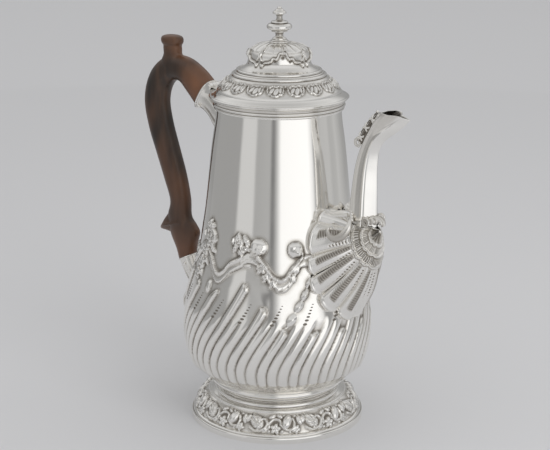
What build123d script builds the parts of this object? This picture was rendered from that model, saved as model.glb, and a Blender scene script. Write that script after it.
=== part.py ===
from build123d import *
import math
import os

# Silver coffee pot of about 1765: raised pear-shaped body on a stepped round foot, domed lid on a
# pinned hinge, two-part curved spout, and a carved wooden handle pinned into two cast sockets.
# Millimetres. Z is up, the origin is the centre of the foot's resting ring, the spout points
# to +X and the handle to -X. The hinge pin lies along Y.

# ---- driving dimensions ----
OVERALL_HEIGHT = 280.0
FOOT_RADIUS = 59.1
BELLY_RADIUS = 62.6
BELLY_HEIGHT = 66.0
MOUTH_RADIUS = 41.0          # outside of the body's wall at the mouth
MOUTH_HEIGHT = 220.9
WALL = 0.8                   # raised silver sheet
LID_RADIUS = 46.2
LID_GAP = 0.15               # between the rim moulding and the closed lid
HINGE_X = -55.8
HINGE_Z = 221.5
BARREL_RADIUS = 2.6
BARREL_LENGTH = 16.0
HINGE_PIN_RADIUS = 1.0
PIN_CLEARANCE = 0.05
KNUCKLES = 5
KNUCKLE_GAP = 0.12
HANDLE_HALF_WIDTH = 7.0      # half of the wood's thickness along Y, at the grip
HANDLE_PIN_RADIUS = 1.1
SPOUT_WALL = 0.9
SHELL_THICKNESS = 1.5        # cast shell ornament over the spout's root
STRAINER_HOLE_RADIUS = 1.25
STRAINER_ROWS = 5
STRAINER_PITCH = 4.8
STUD_RADIUS = 1.4

# ---- profiles of revolution, as (radius, height) ----
BODY_HEEL_RADIUS = 36.5
BODY_HEEL_HEIGHT = 25.1
BODY_BOTTOM_HEIGHT = 28.6    # the bottom is dished up in the middle
BODY_PROFILE = [
    (BODY_HEEL_RADIUS, BODY_HEEL_HEIGHT), (43.0, 27.0), (49.3, 31.5), (56.3, 38.9), (61.2, 51.0),
    (BELLY_RADIUS, BELLY_HEIGHT), (61.2, 81.0), (57.8, 96.0), (53.5, 115.0), (50.4, 135.0),
    (47.9, 155.0), (44.7, 185.0), (42.4, 203.0), (41.3, 213.5), (MOUTH_RADIUS, MOUTH_HEIGHT),
]
FOOT_RIM_HEIGHT = 5.7
LID_SEAT_HEIGHT = 225.0      # top of the lid's edge moulding, where the raised dome starts
LID_STEP = [(30.4, 236.0), (29.3, 236.4), (29.2, 237.6), (27.6, 238.2)]
CAP_TOP_HEIGHT = 256.6

os.makedirs("parts", exist_ok=True)
nodes = {}


def turned(*edges):
    """A solid of revolution about Z from a closed outline drawn in the XZ plane, its seam to one side."""
    return Rot(0, 0, 90) * revolve(make_face(edges), Axis.Z)


def at(across, height):
    """A spot in the plane of the spout and handle."""
    return (across, 0, height)


def path(points):
    """Straight lines from point to point."""
    return Polyline(*[at(r, z) for r, z in points])


def curve(points):
    """Arcs through every three points in turn, so the number of points is odd."""
    spots = [at(r, z) for r, z in points]
    return [ThreePointArc(*spots[i:i + 3]) for i in range(0, len(spots) - 2, 2)]


def ring(points):
    """A ring with a polygonal section."""
    return turned(path(points + points[:1]))


def inside_of(points, wall):
    """A run of points moved to its left by the wall's thickness."""
    moved = []
    last = len(points) - 1
    for i, (r, z) in enumerate(points):
        before, after = points[max(i - 1, 0)], points[min(i + 1, last)]
        run = math.dist(before, after)
        moved.append((r - wall * (after[1] - before[1]) / run, z + wall * (after[0] - before[0]) / run))
    return moved


def half_space(side, size=400):
    """Everything on one side of the plane of the spout and handle."""
    return Pos(0, side * size / 2, size / 2) * Box(size, size, size)


def slab(outline, half_width):
    """A plate of an outline in the XZ plane, as thick as twice half_width."""
    face = make_face(path(outline + outline[:1]))
    return extrude(face, amount=half_width, dir=(0, 1, 0), both=True)


def oval(centre, direction, half_depth, half_width):
    """An oval section across a run in the XZ plane: half_depth in that plane, half_width along Y."""
    x, z = centre
    plane = Plane(origin=at(x, z), x_dir=(0, 1, 0), z_dir=(direction[0], 0, direction[1]))
    return plane * Ellipse(half_width, half_depth)


# ---- body ----
body_curve = curve(BODY_PROFILE)
bottom_curve = ThreePointArc(
    at(0, BODY_BOTTOM_HEIGHT), at(20, 27.6), at(BODY_HEEL_RADIUS, BODY_HEEL_HEIGHT)
)
body_outside = turned(
    bottom_curve,
    *body_curve,
    path([(MOUTH_RADIUS, MOUTH_HEIGHT), (0, MOUTH_HEIGHT), (0, BODY_BOTTOM_HEIGHT)]),
)
inner_points = inside_of(BODY_PROFILE, WALL)
inner_radius = inner_points[-1][0]
floor_height = BODY_BOTTOM_HEIGHT + WALL
body_inside = turned(
    ThreePointArc(at(0, floor_height), at(20, 28.6), at(*inner_points[0])),
    *curve(inner_points),
    path([inner_points[-1], (inner_radius, MOUTH_HEIGHT + 5), (0, MOUTH_HEIGHT + 5), (0, floor_height)]),
)
body_shell = body_outside - body_inside

# Rows of strainer holes through the wall, under the spout's root.
strainer_holes = []
for row in range(STRAINER_ROWS):
    holes_in_row = 4 + row % 2
    for k in range(holes_in_row):
        y = (k - (holes_in_row - 1) / 2) * STRAINER_PITCH
        spot = Pos(54, y, 106 + row * STRAINER_PITCH) * Rot(0, 90, 0)
        strainer_holes.append(spot * Cylinder(STRAINER_HOLE_RADIUS, 16))
body_shell = body_shell - strainer_holes
nodes["body_shell"] = body_shell

rim_moulding = turned(
    path([(41.9, 213.4), (42.7, 213.9)]),
    ThreePointArc(at(42.7, 213.9), at(43.9, 215.4), at(43.2, 217.0)),
    path([(43.2, 217.0), (43.2, 217.7)]),
    ThreePointArc(at(43.2, 217.7), at(43.8, 219.5), at(44.9, 220.3)),
    path([(44.9, 220.3), (44.9, MOUTH_HEIGHT), (40.9, MOUTH_HEIGHT), (40.9, 213.4), (41.9, 213.4)]),
) - body_outside
nodes["rim_moulding"] = rim_moulding

# A drawn wire soldered under the body, round the joint with the foot.
base_wire = turned(Pos(43.6, 0, 27.0) * Rot(90, 0, 0) * Circle(1.7).edge())
nodes["body_base_wire"] = base_wire - body_outside

# ---- foot ----
foot_dome = turned(
    ThreePointArc(at(36.5, 25.0), at(36.3, 21.6), at(39.4, 20.0)),
    ThreePointArc(at(39.4, 20.0), at(41.0, 20.8), at(42.3, 19.6)),
    path([(42.3, 19.6), (44.3, 18.9)]),
    ThreePointArc(at(44.3, 18.9), at(46.2, 18.6), at(46.6, 17.0)),
    ThreePointArc(at(46.6, 17.0), at(52.7, 13.0), at(56.0, FOOT_RIM_HEIGHT)),
    path([(56.0, FOOT_RIM_HEIGHT), (54.9, FOOT_RIM_HEIGHT)]),
    ThreePointArc(at(54.9, FOOT_RIM_HEIGHT), at(51.8, 12.2), at(45.6, 16.0)),
    path([(45.6, 16.0), (40.5, 18.4)]),
    ThreePointArc(at(40.5, 18.4), at(35.6, 20.6), at(35.3, 25.0)),
    path([(35.3, 25.0), (36.5, 25.0)]),
)
nodes["foot_dome"] = foot_dome - body_outside
nodes["foot_rim"] = turned(
    path([(55.0, 0), (FOOT_RADIUS, 0), (FOOT_RADIUS, 2.9)]),
    ThreePointArc(at(FOOT_RADIUS, 2.9), at(58.7, 4.0), at(57.6, 4.3)),
    ThreePointArc(at(57.6, 4.3), at(57.3, 5.4), at(56.4, FOOT_RIM_HEIGHT)),
    path([(56.4, FOOT_RIM_HEIGHT), (54.2, FOOT_RIM_HEIGHT), (54.2, 1.6), (55.0, 0)]),
)

# ---- lid ----
lid_base = MOUTH_HEIGHT + LID_GAP
lid_edge = turned(
    path([(39.6, lid_base), (45.5, lid_base)]),
    ThreePointArc(at(45.5, lid_base), at(LID_RADIUS, 221.6), at(45.6, 222.4)),
    ThreePointArc(at(45.6, 222.4), at(43.4, 223.5), at(41.4, LID_SEAT_HEIGHT)),
    path([(41.4, LID_SEAT_HEIGHT), (40.2, LID_SEAT_HEIGHT), (40.2, 222.4), (39.6, 222.4),
          (39.6, lid_base)]),
)
nodes["lid_edge_moulding"] = lid_edge
nodes["lid_bezel"] = ring([(38.8, 215.5), (39.3, 215.5), (39.6, 216.2), (39.6, 222.4), (38.8, 222.4)])

lid_slope = curve([(41.2, LID_SEAT_HEIGHT), (38.6, 228.1), (35.6, 231.4), (32.8, 233.9),
                   LID_STEP[0]])
lid_hollow = curve([LID_STEP[-1], (26.2, 239.3), (23.6, 240.3), (21.6, 242.2), (20.2, 244.9)])
lid_crown = curve([(20.2, 244.9), (20.0, 248.8), (18.0, 252.5), (12.4, 255.4), (5.0, CAP_TOP_HEIGHT)])
lid_outside = turned(
    *lid_slope,
    path(LID_STEP),
    *lid_hollow,
    *lid_crown,
    path([(5.0, CAP_TOP_HEIGHT), (0, CAP_TOP_HEIGHT), (0, LID_SEAT_HEIGHT), (41.2, LID_SEAT_HEIGHT)]),
)
lid_inside = turned(
    *curve([(40.3, LID_SEAT_HEIGHT), (37.8, 227.6), (34.9, 230.7), (32.0, 233.2), (29.2, 235.2)]),
    path([(29.2, 235.2), (28.1, 236.6), (26.6, 237.6)]),
    *curve([(26.6, 237.6), (25.4, 238.5), (22.9, 239.6), (20.8, 241.5), (19.3, 244.7)]),
    *curve([(19.3, 244.7), (19.1, 248.6), (17.3, 251.8), (12.0, 254.5), (5.0, 255.6)]),
    path([(5.0, 255.6), (0, 255.6), (0, LID_SEAT_HEIGHT), (40.3, LID_SEAT_HEIGHT)]),
)
stud_bottom = 250.5
stud_top = 262.0
stud_hole = Pos(0, 0, (stud_bottom + stud_top) / 2) * Cylinder(STUD_RADIUS, stud_top - stud_bottom)
nodes["lid_dome"] = lid_outside - lid_inside - stud_hole

# ---- finial, screwed down by a stud and nut ----
nodes["finial_seat"] = turned(
    path([(0, CAP_TOP_HEIGHT), (6.0, CAP_TOP_HEIGHT), (6.0, 257.2)]),
    ThreePointArc(at(6.0, 257.2), at(5.7, 257.9), at(4.9, 258.0)),
    path([(4.9, 258.0), (4.6, 258.9), (0, 258.9), (0, CAP_TOP_HEIGHT)]),
) - stud_hole - lid_outside
nodes["finial"] = turned(
    path([(0, 258.9), (3.7, 258.9), (3.7, 259.5)]),
    ThreePointArc(at(3.7, 259.5), at(2.4, 261.6), at(3.4, 263.8)),
    path([(3.4, 263.8), (5.1, 264.6)]),
    ThreePointArc(at(5.1, 264.6), at(8.3, 266.8), at(5.6, 268.9)),
    ThreePointArc(at(5.6, 268.9), at(5.3, 269.7), at(4.2, 270.1)),
    ThreePointArc(at(4.2, 270.1), at(1.9, 272.8), at(3.0, 275.2)),
    ThreePointArc(at(3.0, 275.2), at(4.4, 276.3), at(3.1, 277.3)),
    ThreePointArc(at(3.1, 277.3), at(1.6, 277.9), at(0.9, OVERALL_HEIGHT - 0.9)),
    path([(0.9, OVERALL_HEIGHT - 0.9), (0.5, OVERALL_HEIGHT), (0, OVERALL_HEIGHT), (0, 258.9)]),
) - stud_hole
nodes["finial_stud"] = stud_hole
nut_height = 2.6
nut = extrude(Pos(0, 0, 255.6 - nut_height) * RegularPolygon(3.6, 6), nut_height)
nodes["finial_nut"] = nut - stud_hole

# ---- hinge ----
def along_hinge(radius, y_low, y_high):
    """A cylinder on the hinge's axis."""
    return Pos(HINGE_X, (y_low + y_high) / 2, HINGE_Z) * Rot(90, 0, 0) * Cylinder(radius, y_high - y_low)


knuckle_length = (BARREL_LENGTH - (KNUCKLES - 1) * KNUCKLE_GAP) / KNUCKLES
plate_top = HINGE_Z - BARREL_RADIUS - 0.4
body_leaf = slab([(-58.8, 217.1), (-43.0, 215.4), (-43.0, plate_top), (-58.8, plate_top)],
                 BARREL_LENGTH / 2)
lid_leaf_outline = [
    (HINGE_X, 220.4), (-46.7, 220.4), (-46.7, lid_base), (-38.0, lid_base), (-36.0, 232.6),
    (-39.2, 229.4), (-42.0, 226.4), (-45.4, 224.4), (-50.0, 223.3), (HINGE_X, 222.9),
]
lid_leaf = slab(lid_leaf_outline, BARREL_LENGTH / 2 - knuckle_length - KNUCKLE_GAP)
for k in range(KNUCKLES):
    y_low = -BARREL_LENGTH / 2 + k * (knuckle_length + KNUCKLE_GAP)
    y_high = y_low + knuckle_length
    knuckle = along_hinge(BARREL_RADIUS, y_low, y_high)
    if k % 2 == 0:
        web = Pos(HINGE_X, (y_low + y_high) / 2, HINGE_Z - 2) * Box(4.2, knuckle_length, 4)
        body_leaf = body_leaf + knuckle + web
        clearance = along_hinge(BARREL_RADIUS + 0.4, y_low - KNUCKLE_GAP, y_high + KNUCKLE_GAP)
        lid_leaf = lid_leaf - clearance
for k in range(1, KNUCKLES, 2):
    y_low = -BARREL_LENGTH / 2 + k * (knuckle_length + KNUCKLE_GAP)
    lid_leaf = lid_leaf + along_hinge(BARREL_RADIUS, y_low, y_low + knuckle_length)
pin_half = BARREL_LENGTH / 2
PIN_HEAD_RADIUS = 1.7
PIN_HEAD_LENGTH = 0.8
pin_body = along_hinge(HINGE_PIN_RADIUS, -pin_half - 0.2, pin_half + 0.2)
nodes["hinge_pin"] = (
    pin_body
    + along_hinge(PIN_HEAD_RADIUS, -pin_half - PIN_HEAD_LENGTH, -pin_half)
    + along_hinge(PIN_HEAD_RADIUS, pin_half, pin_half + PIN_HEAD_LENGTH)
)
nodes["hinge_body_leaf"] = body_leaf - pin_body - body_outside - rim_moulding
lid_pin_hole = along_hinge(HINGE_PIN_RADIUS + PIN_CLEARANCE, -pin_half, pin_half)
lid_bulk = lid_outside + Pos(0, 0, LID_SEAT_HEIGHT - 5) * Cylinder(41, 10.1)
nodes["hinge_lid_leaf"] = lid_leaf - lid_pin_hole - lid_edge - lid_bulk

# ---- wooden handle ----
# Sections down the handle: centre, direction of the run, half-depth, half-width.
HANDLE_TOP = ((-64.4, 214.4), (-0.854, 0.52))
HANDLE_FOOT = ((-83.2, 95.2), (0.447, -0.894))
handle_sections = [
    (HANDLE_TOP[0], HANDLE_TOP[1], 11.2, 7.4),
    ((-73.5, 222.6), (-0.8, 0.6), 10.2, 7.4),
    ((-84.8, 229.6), (-0.95, 0.3), 8.9, 7.2),
    ((-97.5, 228.8), (-0.9, -0.43), 8.8, HANDLE_HALF_WIDTH),
    ((-107.6, 219.6), (-0.5, -0.87), 9.6, HANDLE_HALF_WIDTH),
    ((-111.8, 205.0), (-0.02, -1.0), 10.2, HANDLE_HALF_WIDTH),
    ((-108.6, 188.0), (0.3, -0.95), 9.9, HANDLE_HALF_WIDTH),
    ((-101.8, 170.0), (0.36, -0.93), 9.3, HANDLE_HALF_WIDTH),
    ((-95.0, 152.0), (0.32, -0.95), 8.8, 6.8),
    ((-90.4, 136.0), (0.12, -0.99), 7.6, 6.6),
    ((-90.6, 124.0), (0.1, -0.99), 8.4, 6.4),
    ((-86.4, 112.5), (0.1, -0.99), 12.6, 6.4),
    ((-84.2, 102.5), (0.3, -0.95), 8.6, 6.3),
    (HANDLE_FOOT[0], HANDLE_FOOT[1], 6.9, 6.2),
]
bar = loft([oval(*section) for section in handle_sections])


def tenon(centre, direction, length, half_depth, half_width):
    """The oval tongue that the wood carries into a socket."""
    return extrude(oval(centre, direction, half_depth, half_width), amount=length)


TOP_TENON = ((-65.9, 212.7), (0.854, -0.52))     # set lower than the bar, to clear the hinge
FOOT_TENON = HANDLE_FOOT
TENON_FIT = 0.1
top_tenon = tenon(*TOP_TENON, 9.4, 6.5, 5.2)
foot_tenon = tenon(*FOOT_TENON, 8.0, 4.6, 4.2)
top_pocket = tenon(*TOP_TENON, 9.7, 6.5 + TENON_FIT, 5.2 + TENON_FIT)
foot_pocket = tenon(*FOOT_TENON, 8.3, 4.6 + TENON_FIT, 4.2 + TENON_FIT)

KNOB_X = -95.9
knob = Pos(KNOB_X, 0, 0) * turned(
    path([(0, 230.0), (6.6, 230.0)]),
    ThreePointArc(at(6.6, 230.0), at(5.7, 238.0), at(5.9, 243.6)),
    ThreePointArc(at(5.9, 243.6), at(7.5, 247.4), at(5.9, 251.2)),
    path([(5.9, 251.2), (3.0, 252.0), (0, 252.0), (0, 230.0)]),
)
thorn = loft([
    oval((-94.0, 115.5), (-0.94, -0.34), 7.0, 5.2),
    oval((-103.0, 114.0), (-0.94, -0.34), 3.4, 3.4),
    oval((-109.6, 111.8), (-0.94, -0.34), 0.7, 1.0),
])
handle = bar + knob + thorn + top_tenon + foot_tenon

# ---- handle sockets ----
upper_sections = [
    ((-64.5, 213.9), (0.854, -0.52), 11.6, 8.2),
    ((-54.0, 205.0), (0.8, -0.6), 11.6, 7.6),
    ((-38.0, 194.0), (0.8, -0.6), 12.0, 6.4),
]
lower_sections = [
    ((-83.1, 95.0), (0.447, -0.894), 6.6, 6.0),
    ((-77.5, 84.5), (0.5, -0.87), 6.2, 5.6),
    ((-69.0, 73.0), (0.65, -0.76), 6.0, 5.4),
    ((-55.0, 62.0), (0.8, -0.6), 6.4, 5.6),
]
upper_form = loft([oval(*section) for section in upper_sections])
lower_form = loft([oval(*section) for section in lower_sections])
under_hinge = Pos(-48.9, 0, 228.4) * Box(20, 40, 20)
upper_socket = upper_form - top_pocket - body_outside - rim_moulding - under_hinge - body_leaf
lower_socket = lower_form - foot_pocket - body_outside


def cross_pin(x, z):
    """A pin through a socket and the wood inside it."""
    return Pos(x, 0, z) * Rot(90, 0, 0) * Cylinder(HANDLE_PIN_RADIUS, 30)


upper_pin = cross_pin(-65.6, 207.6) & upper_form
lower_pin = cross_pin(-81.3, 91.4) & lower_form
nodes["upper_handle_pin"] = upper_pin
nodes["lower_handle_pin"] = lower_pin
nodes["upper_handle_socket"] = upper_socket - upper_pin
nodes["lower_handle_socket"] = lower_socket - lower_pin
nodes["wooden_handle"] = handle - upper_socket - lower_socket - upper_pin - lower_pin - body_leaf

# Curled tail of the lower socket, rolled outwards beside the belly.
scroll_outline = [
    (-75.5, 79.0), (-77.5, 71.5), (-79.5, 65.5), (-84.0, 61.5), (-86.6, 66.0), (-84.6, 70.6),
    (-81.4, 69.0), (-82.0, 72.8), (-86.0, 73.6), (-89.0, 67.0), (-86.5, 58.8), (-79.6, 58.6),
    (-73.0, 64.0), (-66.0, 66.5),
]
nodes["lower_socket_scroll"] = slab(scroll_outline, 3.2) - body_outside - lower_form
nodes["upper_socket_drop"] = loft([
    oval((-45.6, 190.0), (0.06, -1.0), 2.6, 4.6),
    oval((-46.4, 180.0), (0.06, -1.0), 2.2, 3.2),
    oval((-46.6, 170.0), (0.06, -1.0), 0.9, 1.0),
]) - body_outside - upper_form

# ---- spout ----
# Sections from the root to the lip: centre, direction of the run, half-depth, half-width.
SPOUT_SECTIONS = [
    ((46.0, 119.0), (1.0, 0.12), 28.0, 15.5),
    ((60.0, 122.5), (0.9, 0.43), 22.0, 13.6),
    ((68.0, 134.0), (0.5, 0.87), 13.4, 11.4),
    ((70.8, 150.0), (0.1, 1.0), 9.2, 9.4),
    ((71.2, 168.0), (0.03, 1.0), 7.0, 7.6),
    ((72.4, 186.0), (0.15, 0.99), 5.9, 6.4),
    ((75.8, 199.0), (0.4, 0.92), 5.4, 6.2),
    ((81.9, 209.4), (0.55, 0.83), 5.9, 6.8),
    ((93.8, 219.0), (0.0, 1.0), 10.9, 7.8),
]


def spout_solid(growth, run_past=0.0):
    """The spout's form, grown outwards or inwards, and run past its two ends."""
    sections = [[c, d, a + growth, b + growth] for c, d, a, b in SPOUT_SECTIONS]
    for section, step in ((sections[0], -run_past), (sections[-1], run_past)):
        (x, z), (dx, dz) = section[:2]
        section[0] = (x + step * dx, z + step * dz)
    return loft([oval(*section) for section in sections])


spout_outside = spout_solid(0)
spout = spout_outside - spout_solid(-SPOUT_WALL, run_past=3) - body_outside
nodes["spout_left_half"] = spout & half_space(1)
nodes["spout_right_half"] = spout & half_space(-1)

# Openwork leaf strip along the upper inside curve of the spout.
crest_outline = [(62.6, 194.0), (64.6, 199.5), (68.2, 205.0), (72.6, 211.0), (77.0, 216.2), (82.4, 220.6),
                 (84.5, 217.0), (78.0, 209.0), (72.5, 200.5), (69.0, 192.0), (66.5, 189.5)]
crest = slab(crest_outline, 2.2)
for x, z in [(67.0, 197.8), (70.9, 204.6), (75.2, 210.6)]:
    crest = crest - Pos(x, 0, z) * Rot(90, 0, 0) * Cylinder(1.1, 20)
nodes["spout_crest"] = crest - spout_outside

bracket = slab([(76.0, 146.0), (82.0, 146.4), (86.4, 149.0), (86.8, 151.6), (84.6, 152.8), (81.0, 151.4),
                (76.0, 151.8)], 4.5)
nodes["spout_bracket"] = bracket - spout_solid(SHELL_THICKNESS)

def scalloped(points, depth):
    """The points with a rounded lobe of the given depth between each two, to the right of the run."""
    outline = points[:1]
    for start, end in zip(points, points[1:]):
        along = Vector(end[0] - start[0], 0, end[1] - start[1])
        out = Vector(-along.Z, 0, along.X) * (depth / along.length)
        for share in (0.2, 0.5, 0.8):
            lobe = out * (1 if share == 0.5 else 0.7)
            outline.append((start[0] + along.X * share + lobe.X, start[1] + along.Z * share + lobe.Z))
        outline.append(end)
    return outline


# Scalloped shell over each side of the spout's root.
shell_edge = [(45.2, 149.0), (44.6, 140.5), (44.4, 131.0), (45.2, 121.0), (46.4, 111.0), (48.8, 101.0),
              (52.8, 92.0), (58.4, 84.5), (65.5, 80.5)]
shell_outline = scalloped(shell_edge, -1.6) + [(96, 86), (96, 149), shell_edge[0]]
shell_face = make_face(path(shell_outline))
run = [(r + SHELL_THICKNESS, z) for r, z in BODY_PROFILE[3:12]]
body_layer = turned(*curve(run), path([run[-1], (0, run[-1][1]), (0, run[0][1]), run[0]])) - body_outside
spout_grown = spout_solid(SHELL_THICKNESS)
spout_layer = spout_grown - spout_outside - body_outside
for side, name in ((1, "spout_shell_left"), (-1, "spout_shell_right")):
    shell_prism = extrude(shell_face, amount=40, dir=(0, side, 0))
    fan = (body_layer & shell_prism) - spout_grown
    cover = spout_layer & shell_prism
    nodes[name] = fan + cover

for name, node in nodes.items():
    print(name, round(node.volume, 1), len(node.solids()))
    export_step(node, f"parts/{name}.step")
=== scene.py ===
import math

import bmesh
import bpy
import numpy as np
from mathutils import Matrix, Vector


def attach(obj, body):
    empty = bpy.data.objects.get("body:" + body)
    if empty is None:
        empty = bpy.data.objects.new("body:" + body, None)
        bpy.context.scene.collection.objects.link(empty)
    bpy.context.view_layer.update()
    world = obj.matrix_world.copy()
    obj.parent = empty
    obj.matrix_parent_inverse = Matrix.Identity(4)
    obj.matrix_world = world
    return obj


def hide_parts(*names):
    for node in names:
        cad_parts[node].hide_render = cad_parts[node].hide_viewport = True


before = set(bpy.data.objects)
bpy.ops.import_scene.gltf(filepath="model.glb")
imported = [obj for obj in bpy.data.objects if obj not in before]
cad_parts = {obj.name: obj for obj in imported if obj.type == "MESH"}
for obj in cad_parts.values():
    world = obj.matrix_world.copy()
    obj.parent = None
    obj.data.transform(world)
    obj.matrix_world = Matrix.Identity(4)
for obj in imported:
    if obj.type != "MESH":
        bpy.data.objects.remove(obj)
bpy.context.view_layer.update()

# Lengths in this script are millimetres, turned to metres where a mesh is made.
# Angles round the pot are degrees from the spout (+X) towards +Y.
# Outlines of turned pieces are (radius, height), and routes in the plane of the spout are (x, z).
MM = 0.001
POT = "pot"
LID = "lid"


# -------------------- curves

def smooth_run(points, spacing):
    """A smooth curve through the points, sampled about every `spacing`."""
    p = np.array(points, float)
    padded = np.vstack([2 * p[0] - p[1], p, 2 * p[-1] - p[-2]])
    dense = []
    for i in range(1, len(padded) - 2):
        a, b, c, d = padded[i - 1:i + 3]
        t = np.linspace(0, 1, 24, endpoint=False)[:, None]
        dense.append(0.5 * (2 * b + (c - a) * t + (2 * a - 5 * b + 4 * c - d) * t ** 2
                            + (3 * b - a - 3 * c + d) * t ** 3))
    dense = np.vstack(dense + [p[-1:]])
    return even_run(dense, spacing)


def even_run(points, spacing):
    """The same line with its points spread evenly, about `spacing` apart."""
    p = np.array(points, float)
    length = np.r_[0, np.cumsum(np.linalg.norm(np.diff(p, axis=0), axis=1))]
    count = max(int(round(length[-1] / spacing)), 1) + 1
    where = np.linspace(0, length[-1], count)
    return np.column_stack([np.interp(where, length, p[:, k]) for k in range(p.shape[1])])


def run_together(*runs):
    """Several runs as one, without the doubled points where they join."""
    joined = [np.array(runs[0], float)]
    for run in runs[1:]:
        run = np.array(run, float)
        if np.allclose(run[0], joined[-1][-1], atol=1e-6):
            run = run[1:]
        joined.append(run)
    return np.vstack(joined)


def between(value, low, high):
    """0 below low, 1 above high, and smooth in between."""
    t = np.clip((value - low) / (high - low), 0, 1)
    return t * t * (3 - 2 * t)


# -------------------- meshes

def circle(count):
    """Angles once round, in radians."""
    return np.linspace(0, 2 * math.pi, count, endpoint=False)


def revolve(outline, turn):
    """An outline turned round the Z axis, as (row, column, 3)."""
    p = np.asarray(outline, float)
    radius, z = p[:, :1], np.repeat(p[:, 1:], len(turn), 1)
    return np.stack([radius * np.cos(turn), radius * np.sin(turn), z], -1)


def in_plane(route, y=0.0):
    """An (x, z) route as (x, y, z)."""
    return np.column_stack([route[:, 0], np.broadcast_to(y, len(route)), route[:, 1]])


def grid_faces(rows, columns, wrap_rows, wrap_columns):
    """Quads between neighbouring points of a grid."""
    r = np.arange(rows if wrap_rows else rows - 1)
    c = np.arange(columns if wrap_columns else columns - 1)
    r, c = np.meshgrid(r, c, indexing="ij")
    r2, c2 = (r + 1) % rows, (c + 1) % columns
    corners = [r * columns + c, r * columns + c2, r2 * columns + c2, r2 * columns + c]
    return np.stack(corners, -1).reshape(-1, 4)


def add_object(name, data):
    """A new object in the scene."""
    thing = bpy.data.objects.new(name, data)
    bpy.context.scene.collection.objects.link(thing)
    return thing


def mark(mesh, name, values):
    """Gives each point of a mesh a value that a material can read."""
    layer = mesh.attributes.get(name) or mesh.attributes.new(name, "FLOAT", "POINT")
    layer.data.foreach_set("value", np.asarray(values, np.float32).ravel())


def clean(mesh):
    """Joins points that coincide and turns all faces outwards."""
    work = bmesh.new()
    work.from_mesh(mesh)
    bmesh.ops.remove_doubles(work, verts=work.verts, dist=1e-6)
    bmesh.ops.recalc_face_normals(work, faces=work.faces)
    work.to_mesh(mesh)
    work.free()


def new_piece(name, shape, finish, replaces=(), body=POT, tarnish_and_painted_shade=None, crease=40):
    """A mesh piece from (points, faces), riding on a body. Edges that turn more than crease show."""
    points, faces = shape
    material, slot = finish
    mesh = bpy.data.meshes.new(name)
    metres = np.asarray(points, float) * MM
    mesh.from_pydata(metres.tolist(), [], [[int(v) for v in face] for face in faces])
    # Each point's darkening: tarnish in hollows, and painted shade where a piece paints it.
    if tarnish_and_painted_shade is not None:
        mark(mesh, "tarnish_and_painted_shade", tarnish_and_painted_shade)
    mesh.validate()
    piece = add_object(name, mesh)
    clean(mesh)
    mesh.shade_smooth()
    mesh.set_sharp_from_angle(angle=math.radians(crease))
    mesh.materials.append(material)
    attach(piece, body)
    for node in replaces:
        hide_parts(node)
    return piece


def hollows(outline, scales=((0.8, 6.0), (1.6, 2.4))):
    """How deep each point of an outline lies between its neighbours, 0 to 1, at each (reach, strength)."""
    p = np.array(outline, float)
    ahead = np.gradient(p, axis=0)
    ahead /= np.maximum(np.linalg.norm(ahead, axis=1), 1e-9)[:, None]
    outward = np.column_stack([ahead[:, 1], -ahead[:, 0]])
    away = np.linalg.norm(p[:, None] - p[None], axis=2)
    deepest = np.zeros(len(p))
    for reach, strength in scales:
        weight = np.exp(-(away / reach) ** 2)
        middle = weight @ p / weight.sum(axis=1)[:, None]
        deepest = np.maximum(deepest, strength * ((middle - p) * outward).sum(axis=1) - 0.1)
    return np.clip(deepest, 0, 1)


def lathe(name, outline, node, body, columns):
    """A turned silver piece in place of a CAD node, from a closed outline."""
    p = np.array(outline, float)
    if np.allclose(p[0], p[-1]):
        p = p[:-1]
    points = revolve(p, circle(columns)).reshape(-1, 3)
    faces = grid_faces(len(p), columns, True, True)
    new_piece(name, (points, faces), POLISHED, [node], body, np.repeat(hollows(p), columns))


def loft(rings):
    """Points and faces of a skin over rings of equal point counts, with closed ends."""
    rings = np.asarray(rings, float)
    count, around = rings.shape[:2]
    faces = grid_faces(count, around, False, True).tolist()
    faces.append(list(range(around))[::-1])
    faces.append([(count - 1) * around + k for k in range(around)])
    return rings.reshape(-1, 3), faces


def tube(path, radii, around=12):
    """Points and faces of a round tube along a path, with its own radius at each point."""
    path = np.asarray(path, float)
    radii = np.broadcast_to(radii, len(path))
    ahead = np.gradient(path, axis=0)
    ahead /= np.linalg.norm(ahead, axis=1)[:, None]
    side = np.cross(ahead[0], (0.3, 0.1, 0.95))
    side /= np.linalg.norm(side)
    turn = circle(around)[:, None]
    rings = []
    for point, forward, radius in zip(path, ahead, radii):
        side = side - forward * (side @ forward)
        side /= np.linalg.norm(side)
        up = np.cross(forward, side)
        rings.append(point + radius * (np.cos(turn) * side + np.sin(turn) * up))
    return loft(rings)


def taper(path, start, end, around=12):
    """A tube whose radius changes evenly from its start to its end."""
    return tube(path, np.linspace(start, end, len(path)), around)


def ball(centre, axes, across=12, down=8):
    """Points and faces of an ellipsoid. `axes` holds its three half-axes as rows."""
    turn = circle(across)
    tilt = np.linspace(0, math.pi, down)[1:-1]
    ring = np.stack([np.outer(np.sin(tilt), np.cos(turn)), np.outer(np.sin(tilt), np.sin(turn)),
                     np.repeat(np.cos(tilt)[:, None], across, 1)], -1)
    unit = np.vstack([ring.reshape(-1, 3), [[0, 0, 1], [0, 0, -1]]])
    faces = grid_faces(len(tilt), across, False, True).tolist()
    top, bottom = len(unit) - 2, len(unit) - 1
    last = (len(tilt) - 1) * across
    for k in range(across):
        after = (k + 1) % across
        faces.append([top, after, k])
        faces.append([bottom, last + k, last + after])
    return unit @ np.asarray(axes, float) + np.asarray(centre, float), faces


def gather(shapes):
    """Many (points, faces) shapes as one."""
    points, faces, offset = [], [], 0
    for shape_points, shape_faces in shapes:
        points.append(np.asarray(shape_points, float))
        faces += [[offset + int(v) for v in face] for face in shape_faces]
        offset += len(shape_points)
    return np.vstack(points), faces


# -------------------- materials

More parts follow.
